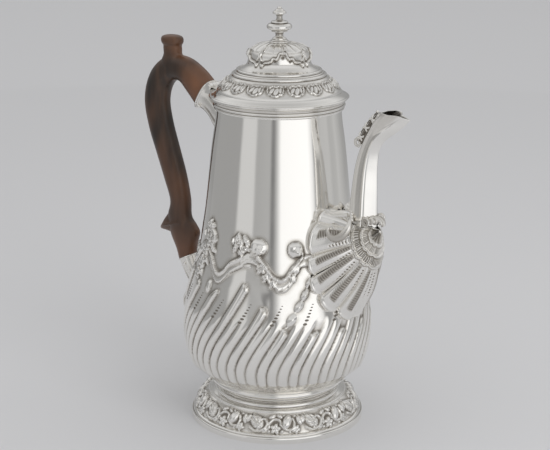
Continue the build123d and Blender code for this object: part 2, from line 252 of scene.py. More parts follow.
def add_node(tree, kind, inputs, **settings):
    """A node with its settings made and its inputs fed."""
    node = tree.nodes.new("ShaderNode" + kind)
    for name, value in settings.items():
        setattr(node, name, value)
    feed(tree, node, inputs)
    return node


def feed(tree, node, inputs):
    """Sets each input to a plain value, or joins it to another node's output."""
    for name, value in inputs.items():
        if isinstance(value, bpy.types.NodeSocket):
            tree.links.new(value, node.inputs[name])
        else:
            node.inputs[name].default_value = value


def start_material(name):
    """A material and its node tree."""
    material = bpy.data.materials.new(name)
    material.use_nodes = True
    return material, material.node_tree


def place_on_piece(tree):
    """Positions fixed to the piece, in metres."""
    return add_node(tree, "TexCoord", {}).outputs["Object"]


def point_value(tree, name):
    """A value that each point of the mesh carries."""
    return add_node(tree, "Attribute", {}, attribute_name=name).outputs["Fac"]


def noise(tree, scale, detail, stretch=None):
    """A noise texture fixed to the piece, optionally stretched along its axes."""
    source = place_on_piece(tree)
    if stretch:
        source = add_node(tree, "Mapping", {"Scale": stretch, "Vector": source}).outputs["Vector"]
    return add_node(tree, "TexNoise", {"Scale": scale, "Detail": detail, "Vector": source}).outputs["Fac"]


def bumps(tree, height, strength, distance):
    """Dents or grain that follow a texture."""
    inputs = {"Strength": strength, "Distance": distance, "Height": height}
    return add_node(tree, "Bump", inputs).outputs["Normal"]


def ramp(tree, source, stops):
    """A colour ramp with (position, grey or colour) stops."""
    node = add_node(tree, "ValToRGB", {"Fac": source})
    elements = node.color_ramp.elements
    while len(elements) < len(stops):
        elements.new(0.5)
    for element, (position, colour) in zip(elements, stops):
        element.position = position
        element.color = (*np.broadcast_to(colour, 3), 1)
    return node.outputs["Color"]


def silver_material(name, gloss, wear):
    """Old polished silver: bright on the high places, darker and duller in tarnished hollows and where a
    piece paints shade.
    """
    material, tree = start_material(name)
    # The marked darkening holds tarnish in hollows and painted shade.
    hollow = point_value(tree, "tarnish_and_painted_shade")
    tint = ramp(tree, hollow, [
        (0.0, (0.93, 0.915, 0.885)), (0.35, (0.74, 0.715, 0.67)), (1.0, (0.25, 0.225, 0.195))])
    rough = ramp(tree, noise(tree, 55.0, 4.0), [(0.3, gloss), (0.75, gloss + wear)])
    duller = add_node(tree, "Mix", {"Factor": hollow, "A": rough, "B": 0.42})
    feed(tree, tree.nodes["Principled BSDF"], {
        "Metallic": 1.0, "Base Color": tint, "Roughness": duller.outputs["Result"],
        "Normal": bumps(tree, noise(tree, 38.0, 2.0), 0.05, 0.0008)})
    return material


def wood_material():
    """Dark stained pearwood, worn redder beside the sockets, with fine grain along the handle."""
    material, tree = start_material("handle_wood")
    grain = noise(tree, 120.0, 6.0, (1.0, 1.0, 0.12))
    stained = ramp(tree, grain, [
        (0.3, (0.014, 0.010, 0.008)), (0.55, (0.040, 0.024, 0.016)), (0.75, (0.095, 0.050, 0.029))])
    patch = noise(tree, 30.0, 3.0)
    red = ramp(tree, patch, [(0.35, (0.13, 0.058, 0.030)), (0.7, (0.24, 0.105, 0.050))])
    inputs = {"Factor": point_value(tree, "worn"), "A": stained, "B": red}
    worn = add_node(tree, "Mix", inputs, data_type="RGBA")
    feed(tree, tree.nodes["Principled BSDF"], {
        "Base Color": worn.outputs["Result"], "Roughness": ramp(tree, patch, [(0.3, 0.26), (0.7, 0.42)]),
        "Normal": bumps(tree, grain, 0.25, 0.0004)})
    return material


# Each finish is a material and the record's slot that it belongs to.
POLISHED = (silver_material("polished_silver", 0.07, 0.06), "polished_silver")
CHASED = (silver_material("chased_silver", 0.13, 0.08), "chased_silver")
DARK = (silver_material("oxidised_marks", 0.4, 0.1), "chased_silver")
WOOD = (wood_material(), "dark_wood")


# -------------------- relief on turned surfaces

PETALS = 5


class Ornament:
    """Raised work at spots on a surface. A subclass says where its spots lie and how its flowers are."""

    def ridge(self, route, width, height):
        """A rounded ridge along a route of spots."""
        nearest = 1e9
        for spot in self.fine_route(route):
            across, up = self.offsets(*spot)
            nearest = np.minimum(nearest, across ** 2 + up ** 2)
        self.raise_to(height * np.exp(-(nearest / width ** 2) ** 1.5))

    def dome(self, a, b, long, wide, lean, height, ribs=0, rib_depth=0.2, twist=0.0):
        """An oval dome, leaning from the vertical, with ribs radiating from its root."""
        across, up = self.offsets(a, b)
        c, s = math.cos(math.radians(lean)), math.sin(math.radians(lean))
        u = (across * c - up * s) / wide
        v = (across * s + up * c) / long
        reach = np.sqrt(u ** 2 + v ** 2)
        shape = np.sqrt(np.clip(1 - reach ** 2, 0, 1))
        if ribs:
            turn = np.arctan2(u, v + self.rib_root)
            shape = shape * (1 - rib_depth + rib_depth * np.cos(ribs * turn + twist * reach))
        self.raise_to(height * shape)

    def flower(self, a, b, radius, height, turn=0.0):
        """Round petals about a bead."""
        out, long, wide, bead = [radius * share for share in self.flower_shares]
        for k in range(PETALS):
            way = math.radians(turn + k * 360 / PETALS)
            spot = self.beside(a, b, out * math.sin(way), out * math.cos(way))
            self.dome(*spot, long, wide, math.degrees(way), height * 0.8)
        self.dome(a, b, bead, bead, 0, height)


class Relief(Ornament):
    """Height and darkness over a turned surface, by row and angle column. Its spots are (angle, z)."""

    rib_root = 0.0
    # How far out a petal's middle is, a petal's half length and half width, and the bead, over the radius.
    flower_shares = (0.62, 0.52, 0.42, 0.3)

    def __init__(self, columns, profile):
        self.angles = np.linspace(-180, 180, columns, endpoint=False)
        self.profile = profile
        self.radius = profile[:, :1]
        run = np.gradient(profile, axis=0)
        run /= np.linalg.norm(run, axis=1)[:, None]
        self.normal = np.column_stack([run[:, 1], -run[:, 0]])
        step = np.linalg.norm(np.diff(profile, axis=0), axis=1)
        self.along = np.r_[0, np.cumsum(step)][:, None]
        self.height = np.zeros((len(profile), columns))
        # Darkening marked over the surface: tarnish in chased lines and pits, and painted shade where a
        # caller paints it.
        self.tarnish_and_shade_marks = np.zeros_like(self.height)

    def at_height(self, z, values):
        return float(np.interp(z, self.profile[:, 1], values[:, 0]))

    def degree_at(self, z):
        """The length of one degree round the surface at a height."""
        return math.radians(1) * self.at_height(z, self.radius)

    def offsets(self, angle, z):
        """Distances across and up from a spot, in millimetres along the surface."""
        turn = (self.angles[None] - angle + 180) % 360 - 180
        return np.radians(turn) * self.radius, self.along - self.at_height(z, self.along)

    def beside(self, angle, z, across, up):
        return angle + across / self.degree_at(z), z + up

    def fine_route(self, route):
        degree = self.degree_at(route[0][1])
        return [(across / degree, z) for across, z in smooth_run([(a * degree, z) for a, z in route], 0.7)]

    def raise_to(self, height):
        self.height = np.maximum(self.height, height)

    def darken(self, tarnish_and_shade_marks):
        self.tarnish_and_shade_marks = np.maximum(self.tarnish_and_shade_marks, tarnish_and_shade_marks)

    def darkness(self, reach=3, strength=2.2):
        """How deep each spot lies below its surroundings, 0 to 1."""
        wide = self.height.copy()
        for axis in (0, 1):
            total = np.zeros_like(wide)
            for shift in range(-reach, reach + 1):
                total += np.roll(wide, shift, axis)
            wide = total / (2 * reach + 1)
        return np.clip((wide - self.height) * strength, 0, 1)

    def points(self):
        """The raised surface as a (row, column, 3) array."""
        radius = self.radius + self.height * self.normal[:, :1]
        z = self.profile[:, 1:] + self.height * self.normal[:, 1:]
        turn = np.radians(self.angles)
        return np.stack([radius * np.cos(turn), radius * np.sin(turn), z], -1)


def turned_piece(name, relief, inside, finish, node, body, darkness):
    """A closed turned piece: a raised outside and a plain inside that runs back to its start."""
    under = revolve(inside, np.radians(relief.angles))
    points = np.concatenate([relief.points(), under])
    faces = grid_faces(*points.shape[:2], True, True)
    dark = np.concatenate([darkness, np.zeros(under.shape[:2])])
    new_piece(name, (points.reshape(-1, 3), faces), finish, [node], body, dark, crease=50)


# -------------------- body

BODY_PROFILE = [
    (36.5, 25.1), (39.9, 25.8), (43.0, 27.0), (49.3, 31.5), (56.3, 38.9), (59.4, 44.5), (61.7, 53.0),
    (62.6, 66.0), (61.5, 80.0), (58.0, 95.0), (53.5, 115.0), (50.5, 135.0), (48.3, 150.7),
    (44.7, 185.0), (42.9, 198.4), (41.7, 207.0), (41.2, 213.6), (41.0, 220.8),
]
BODY_COLUMNS = 450
ORNAMENT_TOP = 150.0
WALL = 0.8

# One repeat of the fluting is a narrow flute, and two broad lobes with a crease between them.
# Places and half widths across it are shares of a repeat.
FLUTE_REPEATS = 18
FLUTE_START = -83.1          # the angle that the first repeat starts from, before the sweep
FLUTE_MIDDLE, FLUTE_HALF = 0.155, 0.145
FLUTE_ARCH = 3.4             # height of the arch at the flute's top
FLUTE_GROOVES = (0.008, 0.302)
LOBES = ((0.475, 0.165), (0.82, 0.18))
CREASE_SHARE = 0.64
CREASE_TOP = 84.5            # where the creases give way to punched marks
MARKS = 7                    # punched marks in a row
MARK_RADII = (1.6, 0.6)      # of the lowest and the highest
MARK_RISE = 12.0             # from the lowest to the highest
# How far round the flutes have swept, by height.
SWEEP = [(28, 3.0), (35, 1.0), (45, 0), (52, 0.8), (59, 3.4), (66, 6.9), (75, 12.0), (82, 16.0), (88, 19.2),
         (96, 23.3), (104, 27.3), (114, 32.0), (125, 37.0)]

# Where the flutes end below the chased border, by angle from the spout on either side.
FLUTE_TOPS = [(0, 76), (15, 78), (30, 78), (44, 79), (60, 95), (73, 109), (88, 104), (102, 96), (118, 104),
              (135, 109), (150, 100), (165, 92), (180, 88)]
# The upper line of the chased border.
BORDER_LINE = [
    (0, 126), (20, 126), (32.8, 125.9), (35.2, 122.8), (39.6, 119.2), (43.9, 113.6), (48.7, 111.5),
    (54.8, 114.9), (59.2, 121.1), (65, 126.5), (72, 127.5), (78, 123.5), (86.0, 119.4), (90.5, 114.0),
    (95, 111.3), (99.5, 113.6), (103.5, 119.0), (108.8, 124.5), (116, 128), (124, 124), (132, 116),
    (140, 111), (149, 116), (157, 124), (166, 129), (180, 129),
]


def body_profile():
    """The body's outside, finer where it is ornamented."""
    run = smooth_run(BODY_PROFILE, 0.25)
    ornamented = run[:, 1] < ORNAMENT_TOP
    return run_together(even_run(run[ornamented], 0.88), even_run(run[~ornamented], 3.6))


def body_radius(z):
    return np.interp(z, *np.transpose(BODY_PROFILE)[::-1])


def from_spout(angles):
    """Degrees from the spout, the same on both sides."""
    return np.abs((angles + 180) % 360 - 180)


def flute_sweep(z):
    return np.interp(z, *smooth_run(SWEEP, 0.5).T)


def add_flutes(relief):
    """Spiral gadroons that lean to the right as they climb and end under the border."""
    z = relief.profile[:, 1:]
    turn = relief.angles[None] - flute_sweep(z) - FLUTE_START
    share = (turn * FLUTE_REPEATS / 360) % 1.0
    tops = np.interp(from_spout(relief.angles), *zip(*FLUTE_TOPS))[None]
    start = between(z, 35.0, 42.0)
    past = np.clip((z - (tops - FLUTE_ARCH)) / FLUTE_ARCH, 0, 2)
    aside = (share - FLUTE_MIDDLE) / FLUTE_HALF
    reach = np.sqrt(aside ** 2 + past ** 2)
    narrow = np.sqrt(np.clip(1 - aside ** 2 - past ** 2, 0, 1))
    rim = np.exp(-((reach - 1.0) / 0.13) ** 2)
    broad = 0
    for middle, half in LOBES:
        broad = broad + np.clip(1 - ((share - middle) / half) ** 2, 0, 1) ** 0.6
    lobes = 1 - between(z, np.maximum(tops - 2, 88), np.maximum(tops + 12, 102))
    creases = 1 - between(z, CREASE_TOP - 6, CREASE_TOP + 3)
    relief.height += start * (1.75 * narrow + 0.7 * lobes * (1 - creases) + 1.35 * broad * lobes * creases)
    relief.height += start * 0.45 * rim * between(z, tops - 22, tops - 8) * (past > 0)
    groove = sum(np.exp(-(((share - spot + 0.5) % 1 - 0.5) / 0.014) ** 2) for spot in FLUTE_GROOVES)
    groove = 0.4 * groove * (1 - between(z, tops - 4, tops))
    crease = np.exp(-((share - CREASE_SHARE) / 0.015) ** 2) * (1 - between(z, CREASE_TOP - 1, CREASE_TOP))
    relief.darken(np.clip(groove + 0.55 * crease, 0, 1) * start)
    # The arch over each flute is cut deep, and its tip is hollow; the mesh has neither, so both are painted
    # dark as their shade.
    arch = np.exp(-((reach - 1.12) / 0.1) ** 2) * (past > 0.55)
    tip = np.exp(-((share - 0.165) / 0.05) ** 2 - ((z - (tops - 2.4)) / 1.1) ** 2)
    relief.darken(start * np.maximum(0.9 * arch, 0.8 * tip))


def add_border(relief):
    """The scrolled border, its rosettes, flowers and garlands, alike on both sides."""
    line = np.interp(from_spout(relief.angles), *smooth_run(BORDER_LINE, 0.5).T)[None]
    # Under its upper edge the border is a raised band, hollowed along its middle.
    down = line - relief.profile[:, 1:]
    band = between(down, -0.5, 0.5) * (1 - between(down, 5.4, 6.6))
    relief.height += band * (0.95 - 0.5 * np.exp(-((down - 3.2) / 1.5) ** 2))
    relief.darken(0.85 * np.exp(-((down + 0.9) / 0.35) ** 2))
    relief.darken(0.55 * np.exp(-((down - 6.9) / 0.4) ** 2))
    for side in (-1, 1):
        def ridge(route, width, height):
            relief.ridge([(side * a, h) for a, h in route], width, height)

        def dome(a, h, long, wide, lean, height, **ribs):
            relief.dome(side * a, h, long, wide, side * lean, height, **ribs)

        def flower(a, h, radius, height):
            relief.flower(side * a, h, radius, height)

        def curl(a, h, radius, start):
            """A rounded boss that winds in on itself, like a snail."""
            dome(a, h, radius, radius, 0, 2.2)
            degree = math.radians(1) * float(body_radius(h))
            for share, lift in ((0.66, 3.0), (0.36, 3.7)):
                shift = radius * (1 - share) * 0.85
                dome(a + shift * math.cos(start) / degree, h + shift * math.sin(start),
                     radius * share, radius * share, 0, lift)

        # Two swags of scroll, each with its curled ends.
        ridge([(119, 134), (113.5, 129), (108.8, 124.5), (103.5, 118.8), (99.5, 113.4), (95, 111.3),
               (90.5, 113.8), (86.0, 119.0), (79.5, 122.6), (76.6, 125.6), (79.0, 128.2)], 0.95, 1.7)
        ridge([(69.0, 128.3), (65.2, 127.2), (63.7, 124.6), (59.2, 120.3), (54.8, 114.5), (48.7, 111.3),
               (43.9, 113.2), (39.6, 118.8), (35.2, 122.8), (32.6, 126.6), (34.0, 130.5), (37.5, 132.6)],
              1.05, 1.8)
        ridge([(124, 121), (132, 114.5), (140, 111.0), (149, 115.0), (157, 122.5), (163, 128)], 1.0, 1.5)
        ridge([(52.0, 108.4), (49.5, 105.0), (45.5, 105.2), (42.0, 108.4), (38.5, 114.0)], 0.8, 1.2)
        ridge([(58.5, 115.0), (55.0, 110.0), (52.0, 108.4)], 0.8, 1.1)
        ridge([(101, 110.5), (97, 107.2), (92, 106.8), (88, 111.0), (82, 116.0), (76, 119.0), (70, 119.6)],
              0.75, 0.95)
        ridge([(77, 121.5), (71.5, 124.8), (66.0, 123.4)], 0.8, 1.0)
        # Shell rosettes on the border's crests.
        curl(64.4, 131.8, 5.6, -2.2)
        curl(37.4, 130.6, 5.2, -2.2)
        # A cluster of leaves between the swags.
        for a, h, length, lean in ((77.5, 133.0, 5.0, 14), (73.6, 135.0, 4.4, 34), (81.5, 131.0, 4.6, -30),
                                   (76.5, 128.4, 3.8, -60), (80.5, 136.0, 3.6, -8), (72.6, 130.4, 3.6, 70),
                                   (83.4, 134.4, 2.8, -40)):
            dome(a, h, length, 2.1, lean, 2.6, ribs=5, rib_depth=0.25)
        # Flowers laid along the swags.
        flower(61.8, 118.5, 3.2, 2.2)
        flower(57.6, 112.8, 3.0, 2.2)
        flower(53.6, 109.2, 2.5, 1.9)
        flower(37.4, 118.6, 2.8, 2.0)
        flower(39.8, 112.6, 2.4, 1.8)
        # A garland of husks that falls from the swag nearest the spout.
        ridge([(27.4, 112.0), (30.4, 105.4), (33.6, 99.2), (37.8, 92.6), (42.0, 86.6), (44.6, 81.6),
               (50.0, 80.4)], 0.45, 0.9)
        for a, h, length, wide in ((28.9, 109.0, 3.2, 1.4), (32.2, 101.6, 4.4, 2.0), (36.6, 94.4, 4.6, 2.3),
                                   (41.4, 86.6, 4.8, 3.0)):
            dome(a, h, length, wide, -38, 1.7)
            dome(a, h, length * 0.55, wide * 0.5, -38, 2.3)
        # A column of flowers beside the handle, with a bud under it.
        for a, h, radius in ((110.0, 139.5, 4.2), (107.5, 130.5, 5.6), (113.5, 123.5, 4.6),
                             (117.0, 114.5, 4.4), (120.5, 105.5, 3.8)):
            flower(a, h, radius, 2.8)
        for a, h, lean in ((104.6, 126.0, 50), (104.4, 135.0, 30), (112.6, 134.5, -30), (110.8, 117.5, 20),
                           (115.5, 108.5, 15)):
            dome(a, h, 4.4, 2.1, lean, 2.3, ribs=3, rib_depth=0.25)
        dome(102.5, 101.0, 4.6, 2.6, -8, 1.9)
        dome(166, 133, 6.0, 5.4, 0, 2.4, ribs=9, rib_depth=0.2, twist=3.0)
        flower(134, 119, 3.2, 2.0)
        flower(146, 118, 3.0, 2.0)


def punch_marks():
    """Rows of small punched marks that shrink as they climb from the ends of the creases."""
    shapes = []
    profile = body_profile()
    for k in range(FLUTE_REPEATS):
        for share in np.linspace(0, 1, MARKS):
            radius = MARK_RADII[0] + (MARK_RADII[1] - MARK_RADII[0]) * share
            height = CREASE_TOP - 1.0 + MARK_RISE * share ** 0.9
            angle = FLUTE_START + flute_sweep(height) + (k + CREASE_SHARE) * 360 / FLUTE_REPEATS
            turn = math.radians(angle)
            out = float(np.interp(height, profile[:, 1], profile[:, 0])) + 0.72
            normal = np.array([math.cos(turn), math.sin(turn), 0.25])
            normal /= np.linalg.norm(normal)
            across = np.array([-math.sin(turn), math.cos(turn), 0])
            up = np.cross(normal, across)
            centre = (out * math.cos(turn), out * math.sin(turn), height)
            shapes.append(ball(centre, [across * radius, up * radius * 0.5, normal * 0.4], 10, 7))
    return gather(shapes)


def build_body():
    relief = Relief(BODY_COLUMNS, body_profile())
    add_flutes(relief)
    add_border(relief)
    dark = np.clip(relief.darkness(3, 1.7) + relief.tarnish_and_shade_marks, 0, 1)
    dark *= 0.55 + 0.45 * between(relief.profile[:, 1:], 40, 62)
    # The plain inside runs down the wall and across the floor to the axis, and back under it.
    inner = smooth_run([(r - WALL - 0.1, z) for r, z in BODY_PROFILE[4:]], 6.0)[::-1]
    floor = [(55.0, 38.9), (48.6, 32.9), (42.6, 28.6), (36.4, 26.6), (20.0, 28.6), (0.0, 29.5), (0.0, 28.6),
             (20.0, 27.6)]
    inside = run_together(inner, floor)
    turned_piece("chased_body", relief, inside, POLISHED, "body_shell", POT, dark)
    marks = punch_marks()
    new_piece("body_punch_marks", marks, DARK, tarnish_and_painted_shade=np.ones(len(marks[0])))


# -------------------- repeated ornament

class Motif(Ornament):
    """An ornament repeated round a relief. Its spots are millimetres across and up from its foot."""

    rib_root = 0.45
    flower_shares = (0.6, 0.5, 0.4, 0.28)

    def __init__(self, relief, count, phase, foot):
        self.relief = relief
        turn = (relief.angles - phase) * count / 360
        turn = ((turn + 0.5) % 1 - 0.5) * 360 / count
        start = int(np.argmin(np.linalg.norm(relief.profile - np.array(foot), axis=1)))
        self.across = np.radians(turn)[None] * relief.radius
        self.up = relief.along - relief.along[start] + 0 * self.across

    def offsets(self, x, y):
        return self.across - x, self.up - y

    def beside(self, x, y, across, up):
        return x + across, y + up

    def fine_route(self, route):
        return smooth_run(route, 0.5)

    def raise_to(self, height):
        self.relief.raise_to(height)

    def pit(self, x, y, radius, depth):
        """A round hollow, dark inside."""
        across, up = self.offsets(x, y)
        shape = np.exp(-((across ** 2 + up ** 2) / radius ** 2) ** 2)
        self.relief.height -= depth * shape
        self.relief.darken(shape)

    def ground(self, start, full, fading, gone, depth):
        """The matted ground behind the ornament, by distance up, wherever the relief is lower than depth."""
        within = between(self.up, start, full) * (1 - between(self.up, fading, gone))
        return within * (self.relief.height < depth)


def outline_of(*runs, spacing=0.5):
    """An outline of smooth runs that meet at corners, each starting where the one before it ended."""
    rows = [smooth_run(runs[0], spacing)]
    for before, run in zip(runs, runs[1:]):
        rows.append(smooth_run([before[-1], *run], spacing))
    return run_together(*rows)


# -------------------- foot

FOOT_COLUMNS = 600
FOOT_REPEATS = 9
WIRE_CENTRE = (43.9, 27.3)   # of the half-round wire between the body and the foot
WIRE_RADIUS = 1.75


def build_foot():
    lower = outline_of(
        [(54.9, 5.75), (55.6, 6.2), (53.7, 11.0), (50.6, 14.8), (47.2, 16.9)],
        [(47.0, 17.9), (46.2, 18.4), (45.3, 18.1)], [(44.0, 18.7), (42.7, 19.2)],
        [(42.4, 20.4), (41.2, 20.9), (39.9, 20.4)], [(37.6, 20.8), (36.2, 22.6), (36.5, 25.05)])
    relief = Relief(FOOT_COLUMNS, lower)
    motif = Motif(relief, FOOT_REPEATS, -52.0, (55.6, 6.2))
    for route, width, height in (
            ([(-16.6, 3.4), (-12.5, 1.4), (-7.6, 2.4), (-4.6, 6.0), (-6.2, 9.4), (-8.6, 8.8)], 0.75, 1.7),
            ([(-3.6, 3.6), (-2.6, 7.4), (0.6, 9.6), (3.8, 8.4), (4.2, 5.6)], 0.75, 1.6),
            ([(4.6, 5.2), (8.2, 2.6), (12.4, 3.0), (13.4, 6.4), (12.0, 9.6)], 0.7, 1.5)):
        motif.ridge(route, width, height)
    motif.flower(0.8, 3.1, 3.4, 2.6, turn=10)
    motif.flower(14.6, 2.6, 2.8, 2.2, turn=30)
    # Leaves and buds: place, half length, half width, lean, height, and ribs.
    for x, y, long, wide, lean, height, ribs in (
            (8.4, 7.8, 4.8, 3.1, 14, 2.9, 0), (16.6, 8.6, 3.6, 1.9, -24, 2.2, 5),
            (-17.0, 9.2, 3.2, 1.7, 30, 2.0, 5), (-1.2, 11.4, 2.6, 1.3, 60, 1.5, 0),
            (3.6, 11.6, 2.4, 1.2, -52, 1.5, 0), (-6.2, 2.0, 2.4, 1.3, 60, 1.5, 0)):
        motif.dome(x, y, long, wide, lean, height, ribs)
    motif.dome(-11.5, 7.2, 5.4, 4.3, -28, 2.7, ribs=8, rib_depth=0.22)
    for x, y in ((-3.4, 1.4), (5.2, 1.4), (10.6, 0.9), (-13.6, 12.6), (6.2, 12.2), (13.2, 11.8)):
        motif.dome(x, y, 0.9, 0.9, 0, 0.9)
    relief.height *= 0.78
    ground = 0.16 * motif.ground(0.5, 1.5, 12.0, 13.5, 0.25)
    dark = np.clip(relief.darkness(4, 1.9) + ground, 0, 1)
    inside = [(35.3, 25.0), (35.5, 21.8), (36.9, 20.0), (40.5, 18.4), (45.6, 16.0), (49.6, 13.9),
              (52.6, 10.6), (54.2, 5.75)]
    turned_piece("chased_foot", relief, inside, CHASED, "foot_dome", POT, dark)
    rim = outline_of(
        [(54.2, 1.6), (55.0, 0.0)], [(59.1, 0.0)], [(59.15, 1.5), (59.1, 3.1)], [(58.8, 3.9), (58.3, 4.2)],
        [(58.0, 4.0)], [(57.7, 5.0), (56.6, 5.6), (55.4, 5.7)], [(54.2, 5.7)], [(54.2, 1.6)])
    lathe("foot_rim_moulding", rim, "foot_rim", POT, 224)
    wire = [(WIRE_CENTRE[0] + WIRE_RADIUS * math.cos(turn), WIRE_CENTRE[1] + WIRE_RADIUS * math.sin(turn))
            for turn in circle(24)]
    lathe("base_wire", wire, "body_base_wire", POT, 192)


# -------------------- lid and mouth

LID_REPEATS = 17
CAMERA_SIDE = -50.0          # the angle round the pot that faces the photograph
SHELL_COLUMNS = 34           # columns across each shell of the lid's band
SHELL_GAP_ANGLE = -43.3      # the angle of one gap between two shells
BAND_FOOT = (38.4, 228.5)    # where the band of shells starts on the lid's outline
CAP_FOOT = (20.2, 248.8)
CAP_LEAVES = 16
# One half of the scrolled frame at the foot of the cap, as (route, width, height).
CAP_FRAME_RIDGES = [
    ([(0.0, 6.9), (1.9, 6.5), (2.9, 4.4), (4.2, 3.0), (6.2, 3.3), (7.6, 1.6), (9.6, 0.6), (11.6, 0.4),
      (13.4, -1.0), (14.6, -2.2)], 0.65, 1.6),
    ([(14.4, 2.0), (15.3, 4.2), (14.3, 6.3), (15.3, 8.0)], 0.55, 1.2),
]


def build_lid():
    outside = outline_of(
        [(41.2, 225.05), (40.5, 226.5), (38.7, 228.2), (35.7, 231.4), (32.9, 233.9), (30.9, 235.4)],
        [(31.2, 236.3), (30.4, 237.1), (29.3, 237.2)], [(28.9, 237.8), (28.1, 238.1)],
        [(28.2, 239.1), (27.3, 239.7), (26.3, 239.4)], [(23.7, 240.4), (21.6, 242.3), (20.4, 244.9)],
        [(20.2, 248.8), (18.2, 252.5), (12.4, 255.5), (5.0, 256.65)], [(2.2, 256.65)], spacing=0.42)
    relief = Relief(LID_REPEATS * SHELL_COLUMNS, outside)
    shell = Motif(relief, LID_REPEATS, SHELL_GAP_ANGLE + 180 / LID_REPEATS, BAND_FOOT)
    half = [(0.0, -1.3), (1.8, -0.9), (2.8, 0.3), (3.9, 0.1), (4.9, 1.6), (5.2, 3.9), (5.7, 5.7), (7.1, 6.6)]
    shell.ridge([(-x, y) for x, y in half[:0:-1]] + half, 0.5, 1.15)
    shell.dome(0.6, 2.4, 2.9, 1.5, 20, 0.8)
    shell.dome(-2.3, 2.9, 2.7, 1.1, 34, 0.75)
    shell.dome(3.3, 3.2, 2.2, 0.9, -4, 0.65)
    shell.ridge([(-3.6, 5.4), (-1.6, 6.9), (0.4, 6.0), (2.2, 7.0), (4.0, 6.0)], 0.45, 0.7)
    gap = Motif(relief, LID_REPEATS, SHELL_GAP_ANGLE, BAND_FOOT)
    gap.pit(0.0, 4.8, 1.15, 0.6)
    relief.darken(0.2 * shell.ground(0.0, 0.8, 7.4, 8.0, 0.3))
    leaf = Motif(relief, CAP_LEAVES, CAMERA_SIDE, CAP_FOOT)
    leaf.across += np.interp(leaf.up, [0, 5, 10, 16], [0.6, 0.0, 1.6, 4.4]) * relief.radius / 20
    fade = between(leaf.up, 3.2, 4.6) * (1 - between(leaf.up, 15.0, 16.5))
    width = np.pi * relief.radius / CAP_LEAVES
    relief.height += 0.5 * fade * np.sqrt(np.clip(1 - (leaf.across / width) ** 2, 0, 1))
    every_other = Motif(relief, CAP_LEAVES // 2, CAMERA_SIDE + 11, CAP_FOOT)
    every_other.pit(0.2, 5.2, 0.7, 0.35)
    for side in (-1, 1):
        every_other.ridge([(side * 0.9, 9.5), (side * 1.3, 6.5), (side * 0.9, 4.4), (0.0, 3.7)], 0.4, 0.95)
    cap_frame = Motif(relief, 4, -43.6, (20.3, 245.4))
    for side in (-1, 1):
        for route, width, height in CAP_FRAME_RIDGES:
            cap_frame.ridge([(side * x, y) for x, y in route], width, height)
        cap_frame.dome(side * 14.4, -1.2, 1.6, 1.1, 30 * side, 1.5)
        cap_frame.pit(side * 5.0, 1.5, 0.9, 0.5)
    cap_frame.pit(0.0, 4.1, 1.1, 0.5)
    moulding = hollows(relief.profile, ((0.9, 5.0),))[:, None] * (relief.profile[:, 1:] < 245)
    dark = np.clip(relief.darkness(3, 2.6) + relief.tarnish_and_shade_marks + moulding, 0, 1)
    inside = run_together(
        [(2.2, 255.6), (5.0, 255.6)],
        smooth_run([(5.0, 255.6), (12.0, 254.5), (17.3, 251.8), (19.1, 248.6), (19.3, 244.7), (20.8, 241.5),
                    (22.9, 239.6), (25.4, 238.5)], 2.5),
        smooth_run([(26.6, 237.6), (28.1, 236.6), (29.2, 235.2), (32.0, 233.2), (34.9, 230.7), (37.8, 227.6),
                    (40.3, 225.05)], 2.5))
    turned_piece("chased_lid", relief, inside, CHASED, "lid_dome", LID, dark)


def build_lid_and_mouth_mouldings():
    edge = outline_of(
        [(39.6, 221.05), (45.5, 221.05)], [(46.15, 221.45), (46.0, 222.0), (45.3, 222.3)], [(44.6, 222.2)],
        [(43.4, 222.9), (42.3, 223.9), (41.5, 225.0)], [(40.2, 225.0)], [(40.2, 222.4)], [(39.6, 222.4)],
        [(39.6, 221.05)], spacing=0.35)
    lathe("lid_flange", edge, "lid_edge_moulding", LID, 224)
    rim = outline_of(
        [(41.0, 213.3), (41.8, 213.4)], [(42.8, 213.8), (43.1, 214.6), (42.7, 215.3)], [(43.1, 215.6)],
        [(43.8, 216.3), (43.4, 217.2)], [(43.0, 217.4)], [(43.3, 218.7), (44.0, 219.6), (44.8, 220.1)],
        [(45.0, 220.5), (44.8, 220.9)], [(40.95, 220.9)], [(40.95, 213.3)], spacing=0.35)
    lathe("mouth_moulding", rim, "rim_moulding", POT, 224)
    bezel = outline_of(
        [(38.8, 215.5), (39.3, 215.5)], [(39.6, 216.2)], [(39.6, 222.4)], [(38.8, 222.4)], [(38.8, 215.5)],
        spacing=1.2)
    lathe("lid_bezel_ring", bezel, "lid_bezel", LID, 192)


def build_finial():
    seat = outline_of(
        [(1.2, 256.6), (6.2, 256.6)], [(6.5, 257.0), (6.2, 257.5), (5.3, 257.6)],
        [(5.7, 258.0), (5.4, 258.4), (4.6, 258.5)], [(4.6, 258.9)], [(1.2, 258.9)], [(1.2, 256.6)],
        spacing=0.2)
    lathe("finial_rings", seat, "finial_seat", LID, 112)
    knob = outline_of(
        [(0.0, 258.9), (4.3, 258.9)], [(4.6, 259.3), (4.2, 259.7)], [(3.4, 259.9)],
        [(2.7, 260.6), (2.5, 261.7), (2.8, 262.8), (3.6, 263.4)], [(5.0, 263.5), (5.3, 264.0), (5.0, 264.5)],
        [(4.9, 264.7)], [(6.9, 265.0), (8.0, 265.9), (8.3, 266.9), (8.0, 267.9), (7.0, 268.7), (5.3, 269.1)],
        [(5.2, 269.3)], [(5.6, 269.7), (5.2, 270.3), (4.0, 270.5)],
        [(2.6, 271.0), (2.0, 272.0), (1.9, 273.2), (2.2, 274.3)],
        [(3.2, 274.7), (4.2, 275.1), (4.5, 275.8), (4.2, 276.5), (3.2, 277.0)], [(2.5, 277.9), (1.6, 278.5)],
        [(1.4, 279.0), (0.9, 279.8), (0.0, 280.0)], spacing=0.22)
    lathe("turned_finial", knob, "finial", LID, 112)


# -------------------- sections along a run

def squarish(values, power):
    """Cosines or sines bent towards a squarer section as the power falls."""
    return np.sign(values) * np.abs(values) ** power


